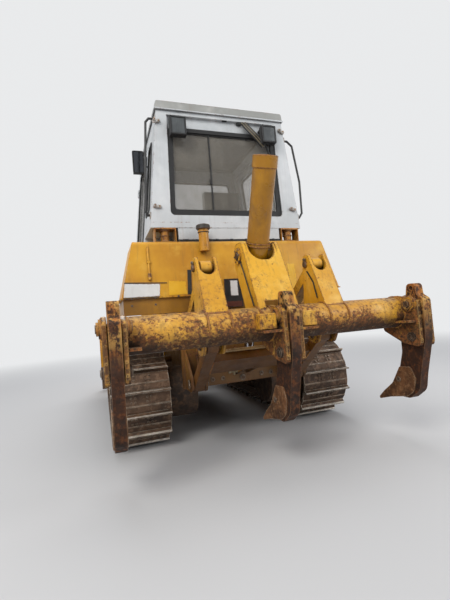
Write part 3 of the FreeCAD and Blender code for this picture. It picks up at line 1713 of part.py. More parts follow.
def ram_barrel():
    """Ripper ram's barrel on its trunnions."""
    direction, length = ram_geometry()

    def at(distance):
        return along_spot(ram_pin, direction, distance, 0)

    tube = rod(at(-ram_barrel_up), at(ram_barrel_down), ram_barrel_radius)
    collar = rod(at(-ram_barrel_up), at(-ram_barrel_up + ram_collar_length), ram_collar_radius)
    ring = rod(at(-112), at(-88), ram_collar_radius)
    stub = cross_rod(-tower_outer_half - 10, tower_outer_half + 10, ram_pin, ram_stub_radius)
    boss = cross_rod(-tower_inner_half + 6, tower_inner_half - 6, ram_pin, ram_stub_radius + 20)
    bore = rod(at(-ram_barrel_up + 30), at(ram_barrel_down - 20), ram_bore_radius)
    mouth = rod(at(ram_barrel_down - 21), at(ram_barrel_down + 1), ram_rod_radius + pin_clearance)
    return take(join([tube, collar, ring, stub, boss]), [bore, mouth])


def ram_rod():
    """Ripper ram's rod with its piston and eye."""
    direction, length = ram_geometry()

    def at(distance):
        return along_spot(ram_pin, direction, distance, 0)

    piston_at = length - ram_rod_length
    bar = rod(at(piston_at), at(length - 20), ram_rod_radius)
    piston = rod(at(piston_at - 16), at(piston_at + 16), ram_bore_radius - 2 * pin_clearance)
    eye = cross_rod(-ram_eye_half, ram_eye_half, ram_foot, ram_eye_radius)
    return join([bar, piston, eye])


def pocket_cheek(low, high):
    """One wall of a shank's pocket."""
    outline = (
        (pocket_rear_y, pocket_rear_low_z, 25),
        (pocket_rear_y, pocket_high_z - 40, 60),
        (beam_y - 20, pocket_high_z, 60),
        (pocket_front_y, beam_z + 60, 60),
        (pocket_front_y, pocket_front_low_z, 30),
        (beam_y - 80, pocket_rear_low_z + 25, 60),
    )
    cheek = prism("x", outline, low, high)
    hole = cross_rod(low - 5, high + 5, (shank_pin_y, shank_pin_z), shank_pin_radius + pin_clearance)
    return cheek.cut(hole)


def pocket_trim(centre, face):
    """Boss round the pin's hole, and the ledge plate on every wall that stands on the beam."""
    near = centre + face * (shank_half + pocket_gap + pocket_plate)
    far = near + face * pocket_boss_length
    spot = (shank_pin_y, shank_pin_z)
    boss = cross_rod(min(near, far), max(near, far), spot, pocket_boss_radius)
    hole = cross_rod(min(near, far) - 5, max(near, far) + 5, spot, shank_pin_radius + pin_clearance)
    pieces = [boss.cut(hole)]
    if centre * face <= 0:
        top = end_ledge_z if centre else middle_ledge_z
        edge = near + face * (end_ledge_reach if centre else middle_ledge_reach)
        pieces.append(box(
            min(near, edge), max(near, edge), pocket_rear_y + 15, beam_y - 40, top - ledge_plate, top,
        ))
    return pieces


def ripper_beam():
    """Round cross tube with a pocket for a shank at each end and in the middle."""
    inner = shank_half + pocket_gap
    end_low = shank_spacing - inner - pocket_plate
    tube = cross_rod(-end_low, end_low, (beam_y, beam_z), beam_radius)
    tube = tube.cut(cross_rod(-end_low + 30, end_low - 30, (beam_y, beam_z), beam_radius - beam_wall))
    slot = box(-inner, inner, beam_y - 300, beam_y + 300, beam_z - 300, beam_z + 300)
    pieces = [tube.cut(slot)]
    for centre in (-shank_spacing, 0, shank_spacing):
        for face in (-1, 1):
            near = centre + face * inner
            far = near + face * pocket_plate
            pieces.append(pocket_cheek(min(near, far), max(near, far)))
            pieces.extend(pocket_trim(centre, face))
        front = box(
            centre - inner, centre + inner, pocket_front_y - pocket_front_plate, pocket_front_y,
            pocket_front_low_z + 30, beam_z + 60,
        )
        pieces.append(front)
    return join(pieces)


def shank_outline():
    """Side outline of a shank, with its nose inside the tooth cap."""
    top = eye_z + 36
    front = beam_y - 18
    return (
        (eye_y - 42, top, 34),
        (eye_y + 42, top, 34),
        (eye_y + 62, pocket_high_z - 20, 20),
        (eye_y + 82, beam_z + 90, 20),
        (front, beam_z + 10, 30),
        (front, 760, 80),
        (-790, 640, 60),
        (-756, 545),
        (-665, 405),
        (-760, 375),
        (-868, 374, 60),
        (-975, 455, 100),
        (-1004, 600, 160),
        (machine_rear_y + 15, 880, 160),
        (machine_rear_y, 1195, 30),
        (eye_y - 50, 1235, 20),
    )


def shank(x):
    """Curved ripper shank with a lifting eye on top."""
    body = prism("x", shank_outline(), x - shank_half, x + shank_half)
    eye = cross_rod(x - 60, x + 60, (eye_y, eye_z), eye_radius)
    hole = cross_rod(x - 60, x + 60, (shank_pin_y, shank_pin_z), shank_pin_radius + pin_clearance)
    return take(body, [eye, hole, tooth(x)])


def tooth_outline():
    """Side outline of a tooth cap."""
    return (
        (-785, 630, 20),
        (-905, 640, 30),
        (-950, 550, 60),
        (-920, 440, 70),
        (-850, 388, 60),
        (-660, 352, 60),
        (-520, 312),
        (-510, 330),
        (-580, 395, 30),
        (-690, 480, 60),
    )


def tooth(x):
    """Replaceable tooth cap that wraps a shank's point."""
    half = shank_half + tooth_wall
    return prism("x", tooth_outline(), x - half, x + half)


def shank_pins():
    """Cross pins that hold the shanks in their pockets."""
    pins = []
    spot = (shank_pin_y, shank_pin_z)
    reach = shank_half + pocket_gap + pocket_plate + pocket_boss_length
    for x in (-shank_spacing, 0, shank_spacing):
        pin = cross_rod(x - reach, x + reach, spot, shank_pin_radius)
        heads = [
            cross_rod(x - reach - shank_pin_head_length, x - reach, spot, shank_pin_head),
            cross_rod(x + reach, x + reach + shank_pin_head_length, spot, shank_pin_head),
        ]
        pins.append(join([pin] + heads))
    return Part.makeCompound(pins)


def cross_tubes():
    """Pivot shafts and equaliser stubs that tie the track frames to the hull."""
    inner = track_x - frame_half_width
    shaft = cross_rod(hull_half_width, inner, (pivot_shaft_y, pivot_shaft_z), pivot_shaft_radius)
    shaft_seat = box(
        hull_half_width, hull_half_width + 40, pivot_shaft_y - 90, pivot_shaft_y + 90,
        pivot_shaft_z - 75, pivot_shaft_z + 130,
    )
    stub = cross_rod(
        hull_half_width, track_x + frame_half_width, (equaliser_y, equaliser_z), equaliser_radius - seat_gap
    )
    return Part.makeCompound([
        join([shaft, shaft_seat]), mirrored(join([shaft, shaft_seat])), stub, mirrored(stub),
    ])


def build():
    """All nodes by name, in the building frame."""
    nodes = {
        "track_left": track_loop(track_phase_left).translated(Vector(-track_x, 0, 0)),
        "track_right": track_loop(track_phase_right).translated(Vector(track_x, 0, 0)),
        "sprockets": pair(sprocket().translated(Vector(track_x, 0, 0))),
        "track_wheels": track_wheels(),
        "track_frames": pair(track_frame()),
        "cross_tubes": cross_tubes(),
        "hull": hull(),
        "belly_guard": belly_guard(),
        "engine_block": engine(),
        "hood": hood(),
        "hood_sides": hood_sides(),
        "radiator_guard": radiator_guard(),
        "grille": grille(),
        "radiator": radiator(),
        "exhaust_stack": exhaust(),
        "air_cleaner": air_cleaner(),
        "platform": platform(),
        "fuel_tank": fuel_tank(),
        "tank_fittings": Part.makeCompound([filler_neck(), breather()]),
        "cab_mounts": cab_mounts(),
        "seat": seat(),
        "cab_fittings": Part.makeCompound([seat_base(), consoles()]),
        "work_lamps": Part.makeCompound([rear_lamps(), front_lamps()]),
        "handrails": handrails(),
        "mirror": mirror(),
        "lift_posts": lift_posts(),
        "blade_frame": blade_frame(),
        "blade": blade(),
        "cutting_edge": cutting_edge(),
        "lift_barrels": pair(lift_barrel()),
        "lift_rods": pair(lift_rod()),
        "tilt_barrel": tilt_barrel(),
        "tilt_rod": tilt_rod(),
        "ripper_mount": ripper_mount(),
        "upper_links": upper_links(),
        "lower_link": lower_link(),
        "ripper_arms": pair(ripper_arm()),
        "ripper_tower": ripper_tower(),
        "ripper_beam": ripper_beam(),
        "shank_pins": shank_pins(),
        "ram_barrel": ram_barrel(),
        "ram_rod": ram_rod(),
        "ripper_shanks": Part.makeCompound([shank(x) for x in (-shank_spacing, 0, shank_spacing)]),
        "ripper_teeth": Part.makeCompound([tooth(x) for x in (-shank_spacing, 0, shank_spacing)]),
    }
    nodes.update(cab_pieces())
    return nodes


def export(nodes):
    """Write each node in the final frame."""
    os.makedirs("parts", exist_ok=True)
    for name, shape in nodes.items():
        moved = shape.translated(Vector(0, -origin_y, 0))
        moved.exportStep("parts/" + name + ".step")


export(build())
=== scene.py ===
import bpy
import bmesh
import math
from itertools import product
from mathutils import Matrix, Vector


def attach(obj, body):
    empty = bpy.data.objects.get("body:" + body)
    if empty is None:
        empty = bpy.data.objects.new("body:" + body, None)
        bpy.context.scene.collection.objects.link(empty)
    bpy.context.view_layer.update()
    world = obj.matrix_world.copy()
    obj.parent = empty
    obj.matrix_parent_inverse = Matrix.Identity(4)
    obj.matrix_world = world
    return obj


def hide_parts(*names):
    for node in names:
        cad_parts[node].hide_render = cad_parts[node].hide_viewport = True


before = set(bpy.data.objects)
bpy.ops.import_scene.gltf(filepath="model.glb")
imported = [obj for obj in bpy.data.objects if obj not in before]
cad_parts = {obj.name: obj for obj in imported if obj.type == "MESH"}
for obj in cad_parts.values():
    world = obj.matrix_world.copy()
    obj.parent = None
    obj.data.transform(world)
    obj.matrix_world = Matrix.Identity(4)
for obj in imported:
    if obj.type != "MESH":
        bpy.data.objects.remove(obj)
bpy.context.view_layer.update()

SHIFT_Y = -1.4325
SIDES = (-1, 1)
X_AXIS = (1, 0, 0)
Z_AXIS = (0, 0, 1)
FORWARD = (0, 1, 0)
BACKWARD = (0, -1, 0)


def at(x, y, z):
    """Point in the final frame from one measured from the tracks' rear end, in metres."""
    return Vector((x, y + SHIFT_Y, z))


def turned(angle, axis='X'):
    """Rotation about an axis."""
    return Matrix.Rotation(angle, 3, axis)


def round_spots(count, radius, a, b, shift=0.0):
    """Angle and two coordinates of places spread evenly round a centre."""
    for i in range(count):
        angle = 2 * math.pi * (i + shift) / count
        yield angle, a + radius * math.cos(angle), b + radius * math.sin(angle)


def full_colour(value):
    """A colour with its fourth value, or a socket as it is."""
    return value if hasattr(value, 'links') else (*value, 1)


def put(tree, socket, value):
    """Set an input to a value, or link it from a socket."""
    if hasattr(value, 'links'):
        tree.links.new(value, socket)
    else:
        socket.default_value = value


def add_node(tree, kind, inputs=None, operation=None):
    """Shader node whose inputs are set to values or linked from sockets."""
    node = tree.nodes.new(kind)
    if operation:
        node.operation = operation
    for key, value in (inputs or {}).items():
        put(tree, node.inputs[key], value)
    return node


# Stage and camera

PHOTO_HEIGHT = 600
SENSOR = 36.0
EYE = (-1.261, -3.312, 1.174)
BACKDROP = (0.86, 0.87, 0.88, 1)
BACKDROP_STRENGTH = 0.95
SKY = (0.93, 0.96, 1.0, 1)
SKY_STRENGTH = 0.42
FLOOR_HALF = 40.0
FLOOR_GREY = (0.60, 0.60, 0.61, 1)
FLOOR_FADE = (5.0, 13.0)


def setup_camera():
    """The photo's camera: its focal length in pixels, turn, tilt and roll were fitted to the photo."""
    f_px, yaw, pitch, roll = 365.1, math.radians(19.0), math.radians(2.66), math.radians(-4.585)
    fwd = Vector((math.sin(yaw), math.cos(yaw), 0))
    right = Vector((math.cos(yaw), -math.sin(yaw), 0))
    up = Vector((0, 0, 1))
    fwd2 = math.cos(pitch) * fwd + math.sin(pitch) * up
    up2 = -math.sin(pitch) * fwd + math.cos(pitch) * up
    right3 = math.cos(roll) * right + math.sin(roll) * up2
    up3 = -math.sin(roll) * right + math.cos(roll) * up2
    cam = bpy.data.cameras.new("camera")
    cam.sensor_fit = 'AUTO'
    cam.sensor_width = SENSOR
    cam.lens = f_px / PHOTO_HEIGHT * SENSOR
    cam.clip_end = 100
    obj = bpy.data.objects.new("camera", cam)
    bpy.context.scene.collection.objects.link(obj)
    rot = Matrix((right3, up3, -fwd2)).transposed()
    obj.matrix_world = Matrix.Translation(at(*EYE)) @ rot.to_4x4()
    bpy.context.scene.camera = obj


def area_light(name, place, target, size, power, colour=(1, 1, 1)):
    """Rectangular lamp at a place, turned to a target."""
    light = bpy.data.lights.new(name, 'AREA')
    light.shape = 'RECTANGLE'
    light.size, light.size_y = size
    light.energy = power
    light.color = colour
    obj = bpy.data.objects.new(name, light)
    bpy.context.scene.collection.objects.link(obj)
    obj.location = place
    obj.rotation_euler = (Vector(target) - Vector(place)).to_track_quat('-Z', 'Y').to_euler()


def shown_ray(tree):
    """One for a ray that shows the background: from the camera, off a glossy face or through glass."""
    path = add_node(tree, 'ShaderNodeLightPath').outputs
    value = path['Is Camera Ray']
    for name in ('Is Glossy Ray', 'Is Transmission Ray'):
        value = add_node(tree, 'ShaderNodeMath', {0: value, 1: path[name]}, 'MAXIMUM').outputs[0]
    return value


def fade_floor(tree, bsdf):
    """Far from the machine the floor passes into the backdrop's colour."""
    place = add_node(tree, 'ShaderNodeTexCoord').outputs['Object']
    reach = add_node(tree, 'ShaderNodeVectorMath', {0: place}, 'LENGTH').outputs['Value']
    near, far = FLOOR_FADE
    span = add_node(tree, 'ShaderNodeMapRange', {'Value': reach, 'From Min': near, 'From Max': far})
    span.interpolation_type = 'SMOOTHSTEP'
    share = add_node(tree, 'ShaderNodeMath', {0: span.outputs['Result'], 1: shown_ray(tree)}, 'MULTIPLY')
    glow = add_node(tree, 'ShaderNodeEmission', {'Color': BACKDROP, 'Strength': BACKDROP_STRENGTH})
    mix = add_node(tree, 'ShaderNodeMixShader', {0: share.outputs[0], 1: bsdf.outputs[0], 2: glow.outputs[0]})
    tree.links.new(mix.outputs[0], tree.nodes['Material Output'].inputs['Surface'])


def setup_stage():
    """Pale backdrop, a floor that fades into it and four soft lamps."""
    scene = bpy.context.scene
    scene.view_settings.view_transform = 'Standard'
    world = bpy.data.worlds.new("world")
    scene.world = world
    world.use_nodes = True
    tree = world.node_tree
    tree.nodes.clear()
    sky = add_node(tree, 'ShaderNodeBackground', {'Color': SKY, 'Strength': SKY_STRENGTH})
    pale = add_node(tree, 'ShaderNodeBackground', {'Color': BACKDROP, 'Strength': BACKDROP_STRENGTH})
    mix = add_node(tree, 'ShaderNodeMixShader', {0: shown_ray(tree), 1: sky.outputs[0], 2: pale.outputs[0]})
    add_node(tree, 'ShaderNodeOutputWorld', {'Surface': mix.outputs[0]})
    mesh = bpy.data.meshes.new("floor")
    r = FLOOR_HALF
    mesh.from_pydata([(-r, -r, 0), (r, -r, 0), (r, r, 0), (-r, r, 0)], [], [(0, 1, 2, 3)])
    floor = bpy.data.objects.new("floor", mesh)
    scene.collection.objects.link(floor)
    mat = bpy.data.materials.new("floor")
    mat.use_nodes = True
    bsdf = mat.node_tree.nodes['Principled BSDF']
    bsdf.inputs['Base Color'].default_value = FLOOR_GREY
    bsdf.inputs['Roughness'].default_value = 0.9
    fade_floor(mat.node_tree, bsdf)
    floor.data.materials.append(mat)
    middle = (0, 0, 1.2)
    area_light("key", (-5.5, -7.5, 7.5), middle, (5, 5), 620, (1, 0.98, 0.94))
    area_light("fill", (6.5, -6.0, 4.5), middle, (5, 4), 210)
    area_light("front", (2.0, 9.0, 6.0), middle, (6, 4), 280)
    area_light("top", (0, 0, 9.0), (0, 0, 0), (7, 7), 215)


setup_camera()
setup_stage()


# Materials

class Nodes:
    """Small helper to write a node tree in few lines."""

    def __init__(self, name):
        self.mat = bpy.data.materials.new(name)
        self.mat.use_nodes = True
        self.tree = self.mat.node_tree
        self.tree.nodes.clear()
        self.bsdf = self.add('ShaderNodeBsdfPrincipled')
        self.add('ShaderNodeOutputMaterial', {'Surface': self.bsdf.outputs[0]})
        self.coord = self.add('ShaderNodeTexCoord').outputs['Object']

    def add(self, kind, inputs=None, operation=None):
        return add_node(self.tree, kind, inputs, operation)

    def mapping(self, scale):
        return self.add('ShaderNodeMapping', {'Vector': self.coord, 'Scale': scale}).outputs[0]

    def noise(self, scale, detail=6.0, rough=0.6, vector=None, distortion=0.0):
        where = vector if vector is not None else self.coord
        return self.add('ShaderNodeTexNoise', {'Vector': where, 'Scale': scale, 'Detail': detail,
                                               'Roughness': rough, 'Distortion': distortion}).outputs[0]

    def ramp(self, value, low, high, out_low=0.0, out_high=1.0):
        """Smooth step from one value to another, between two levels."""
        node = self.add('ShaderNodeMapRange', {'Value': value, 'From Min': low, 'From Max': high,
                                               'To Min': out_low, 'To Max': out_high})
        node.interpolation_type = 'SMOOTHSTEP'
        return node.outputs[0]

    def math(self, op, a, b=0.0, clamp=False):
        node = self.add('ShaderNodeMath', {0: a, 1: b}, op)
        node.use_clamp = clamp
        return node.outputs[0]

    def times(self, a, b):
        return self.math('MULTIPLY', a, b)

    def plus(self, a, b, clamp=False):
        return self.math('ADD', a, b, clamp)

    def mix(self, factor, a, b):
        node = self.tree.nodes.new('ShaderNodeMix')
        node.data_type = 'RGBA'
        for slot, value in ((0, factor), (6, full_colour(a)), (7, full_colour(b))):
            put(self.tree, node.inputs[slot], value)
        return node.outputs[2]

    def coat(self, colour, tint, mask, share):
        """A colour with a tint over it where a mask shows, by a share."""
        return self.mix(self.times(mask, share), colour, tint)

    def split(self, vector=None):
        return self.add('ShaderNodeSeparateXYZ', {0: vector if vector is not None else self.coord}).outputs

    def edges(self, radius):
        """1 near convex and concave edges, 0 on flat faces."""
        bevel = self.add('ShaderNodeBevel', {'Radius': radius})
        bevel.samples = 4
        normal = self.add('ShaderNodeNewGeometry').outputs['Normal']
        dot = self.add('ShaderNodeVectorMath', {0: bevel.outputs[0], 1: normal}, 'DOT_PRODUCT')
        return self.ramp(dot.outputs['Value'], 0.995, 0.86)

    def normal_z(self):
        return self.split(self.add('ShaderNodeNewGeometry').outputs['Normal'])[2]

    def hollows(self, distance):
        """1 on open faces, less in corners and hollows."""
        node = self.add('ShaderNodeAmbientOcclusion', {'Distance': distance})
        node.samples = 4
        return node.outputs['AO']

    def bump(self, height, strength, distance):
        node = self.add('ShaderNodeBump', {'Strength': strength, 'Distance': distance, 'Height': height})
        self.tree.links.new(node.outputs[0], self.bsdf.inputs['Normal'])

    def finish(self, colour, rough, metal=0.0):
        for name, value in (('Base Color', full_colour(colour)), ('Roughness', rough), ('Metallic', metal)):
            put(self.tree, self.bsdf.inputs[name], value)
        return self.mat


def srgb(r, g, b):
    """Linear colour from a display colour in 0..255."""
    return tuple(((c / 255 + 0.055) / 1.055) ** 2.4 if c > 10 else c / 255 / 12.92 for c in (r, g, b))


RUST_LIGHT = srgb(150, 88, 48)
RUST_DARK = srgb(58, 38, 28)
DIRT = srgb(120, 100, 74)
# dark colour for grime and painted shade in hollows
GREASE_AND_SHADE = srgb(34, 28, 22)


def worn_paint(name, tones, chips=0.5, dirt_and_shade=0.4, streak=0.3, edge=0.012, low_darkening=None, rough=0.42,
               patches=0.0, under=0.0, dark_above=None, rust_line=None):
    """Paint with colour drift, chips to rust, worn edges, grime and painted shade in the hollows, painted
    shade on faces turned down and streaks down its faces.
    """
    n = Nodes(name)
    base, deep, pale = tones
    drift = n.ramp(n.noise(1.6, 4), 0.36, 0.66)
    colour = n.mix(drift, deep, base)
    cloud = n.ramp(n.noise(5.5, 6, 0.65), 0.48, 0.74)
    colour = n.coat(colour, pale, cloud, 0.55)
    if dark_above:
        cap = n.ramp(n.split()[2], dark_above - 0.001, dark_above + 0.001)
        colour = n.mix(cap, colour, srgb(64, 60, 56))
    # streaks that run down
    lines = n.noise(1.0, 5, 0.6, n.mapping((26, 26, 1.3)))
    runs = n.ramp(lines, 0.52, 0.74)
    colour = n.coat(colour, srgb(118, 84, 44), runs, streak)
    # chips
    edge_mask = n.edges(edge)
    speck = n.noise(38, 8, 0.68)
    field = n.noise(4.2, 5, 0.6, None, 0.4)
    chip_level = n.plus(n.times(speck, 0.62), n.times(field, 0.38))
    chip_level = n.plus(chip_level, n.times(edge_mask, 0.16))
    threshold = 0.70 - 0.14 * chips
    chip = n.ramp(chip_level, threshold, threshold + 0.025)
    bare = n.mix(n.ramp(n.noise(55, 5), 0.4, 0.62), RUST_DARK, RUST_LIGHT)
    halo = n.ramp(chip_level, threshold - 0.035, threshold + 0.01)
    colour = n.coat(colour, RUST_LIGHT, halo, 0.35)
    colour = n.mix(chip, colour, bare)
    if patches:
        # dense specks of rust that gather in fields, more of them below a height
        level = n.plus(n.times(n.noise(32, 9, 0.78, None, 0.3), 0.55),
                       n.times(n.noise(2.6, 5, 0.62), 0.45))
        if rust_line:
            fall = n.ramp(n.split()[2], rust_line[0], rust_line[1], 0.0, rust_line[2])
            level = n.plus(level, fall)
        start = 0.575 - 0.05 * patches
        spot = n.ramp(level, start, start + 0.035)
        grain = n.ramp(n.noise(48, 8, 0.75), 0.40, 0.62)
        rust = n.mix(grain, srgb(46, 29, 18), srgb(142, 84, 42))
        stain_and_shade = n.ramp(level, start - 0.07, start + 0.02)
        colour = n.coat(colour, srgb(150, 98, 44), stain_and_shade, 0.45)
        colour = n.coat(colour, rust, spot, 0.92)
        chip = n.math('MAXIMUM', chip, spot)
    # grime and painted shade in hollows, dust on flat tops
    shade = n.ramp(n.hollows(0.16), 0.75, 0.25)
    grime_and_shade = n.times(shade, n.ramp(n.noise(9, 6, 0.7), 0.25, 0.6))
    colour = n.coat(colour, GREASE_AND_SHADE, grime_and_shade, min(1.0, dirt_and_shade + 0.25))
    top = n.ramp(n.normal_z(), 0.6, 0.95)
    dust = n.times(top, n.ramp(n.noise(7, 6, 0.7), 0.35, 0.7))
    colour = n.coat(colour, DIRT, dust, dirt_and_shade)
    if under:
        # painted shade on faces turned to the ground, in noisy patches
        below = n.ramp(n.normal_z(), 0.05, -0.75)
        stain_and_shade = n.times(below, n.ramp(n.noise(5, 6, 0.7), 0.2, 0.55))
        colour = n.coat(colour, srgb(40, 26, 14), stain_and_shade, under)
    if low_darkening:
        # darker towards the bottom, with a noisy edge
        height = n.split()[2]
        darkening = n.ramp(n.plus(height, n.times(n.noise(6, 6, 0.7), 0.35)), low_darkening[1], low_darkening[0])
        colour = n.coat(colour, srgb(68, 42, 15), darkening, low_darkening[2])
    roughness = n.plus(n.ramp(n.noise(12, 5), 0.3, 0.7, rough - 0.08, rough + 0.14),
                       n.times(chip, 0.35), True)
    height = n.math('SUBTRACT', n.times(n.noise(70, 4), 0.25), n.times(chip, 0.8))
    n.bump(height, 0.35, 0.0015)
    return n.finish(colour, roughness)


def rusty_steel(name, tones, scale=1.0, metal=0.35, rough=0.62, bright_edges=0.5, darkening=0.0, streaks=0.35,
                paint_above=None):
    """Bare steel with layered rust, brighter rubbed edges and pits; some old paint is left above a height."""
    n = Nodes(name)
    dark, mid, light, rubbed = tones
    first = n.ramp(n.noise(3.2 * scale, 7, 0.66, None, 0.5), 0.36, 0.64)
    colour = n.mix(first, dark, mid)
    second = n.ramp(n.noise(17 * scale, 8, 0.7), 0.47, 0.66)
    colour = n.coat(colour, light, second, 0.75)
    lines = n.ramp(n.noise(1.0, 5, 0.6, n.mapping((40, 40, 2.2))), 0.52, 0.72)
    colour = n.coat(colour, dark, lines, streaks)
    edge_mask = n.times(n.edges(0.01), n.ramp(n.noise(14, 5), 0.3, 0.6))
    if paint_above:
        low, high, share = paint_above
        level = n.plus(n.noise(24, 8, 0.75), n.times(n.edges(0.018), 0.18))
        runs = n.noise(1.0, 6, 0.7, n.mapping((34, 34, 3.0)))
        level = n.plus(n.times(level, 0.6), n.times(runs, 0.4))
        left = n.times(n.ramp(level, 0.47, 0.55), n.ramp(n.split()[2], low, high))
        old_paint = n.mix(n.ramp(n.noise(9, 5), 0.4, 0.6), srgb(190, 120, 52), srgb(222, 172, 92))
        colour = n.coat(colour, old_paint, left, share)
    colour = n.coat(colour, rubbed, edge_mask, bright_edges)
    if darkening:
        # grime and painted shade in hollows
        shade = n.ramp(n.hollows(0.10), 0.8, 0.3)
        colour = n.coat(colour, srgb(74, 60, 46), shade, darkening)
    roughness = n.math('SUBTRACT', n.ramp(n.noise(20, 5), 0.3, 0.7, rough - 0.05, rough + 0.2),
                       n.times(edge_mask, 0.22), True)
    n.bump(n.plus(n.noise(60 * scale, 8, 0.7), n.times(n.noise(9 * scale, 5), 0.7)), 0.5, 0.003)
    return n.finish(colour, roughness, metal)


def plain_gloss(name, tones, rough, metal=0.0, drift=0.15, bump_scale=120, bump=0.12, dusty=0.35):
    """Even surface with slight drift of tone, light dust and fine grain."""
    n = Nodes(name)
    base = tones[0]
    darker = tuple(c * (1 - drift) for c in base)
    colour = n.mix(n.ramp(n.noise(6, 5), 0.35, 0.65), darker, base)
    dust = n.times(n.ramp(n.normal_z(), 0.5, 0.95), n.ramp(n.noise(8, 5), 0.35, 0.7))
    colour = n.coat(colour, srgb(140, 128, 108), dust, dusty)
    n.bump(n.noise(bump_scale, 4), bump, 0.001)
    return n.finish(colour, n.ramp(n.noise(15, 5), 0.3, 0.7, rough - 0.05, rough + 0.1), metal)


def woven_cover(name, tones):
    """Ribbed seat cloth with a fine weave, rubbed lighter on its high places."""
    n = Nodes(name)
    base, dark = tones
    where = n.split()
    rib = n.math('SINE', n.times(where[0], 2 * math.pi / 0.012))
    across = n.math('SINE', n.times(n.plus(where[2], where[1]), 2 * math.pi / 0.006))
    weave = n.times(rib, across)
    colour = n.mix(n.ramp(weave, -0.6, 0.6), dark, base)
    rubbed = n.ramp(n.noise(7, 5, 0.6), 0.45, 0.72)
    colour = n.coat(colour, srgb(96, 92, 88), rubbed, 0.35)
    n.bump(weave, 0.35, 0.0015)
    n.bsdf.inputs['Sheen Weight'].default_value = 0.25
    return n.finish(colour, n.ramp(n.noise(30, 5), 0.3, 0.7, 0.78, 0.92))


def window_glass(name, tones, rough=0.05):
    """Thin tinted glass with a faint film of dust."""
    n = Nodes(name)
    film = n.ramp(n.noise(5, 6, 0.7), 0.4, 0.75)
    colour = n.mix(n.times(film, 0.4), tones[0], srgb(150, 145, 132))
    mat = n.finish(colour, n.ramp(n.noise(9, 5), 0.3, 0.8, rough, rough + 0.12))
    n.bsdf.inputs['IOR'].default_value = 1.5
    put(n.tree, n.bsdf.inputs['Alpha'], n.ramp(film, 0, 1, 0.30, 0.42))
    n.bsdf.inputs['Specular IOR Level'].default_value = 0.7
    return mat


CAP_LOW_Z = 1.991
YELLOW = (218, 160, 34)
YELLOW_DEEP = (192, 132, 22)
YELLOW_PALE = (228, 184, 76)
BRIGHT = (232, 176, 46)
BRIGHT_DEEP = (208, 150, 34)
BRIGHT_PALE = (238, 198, 96)

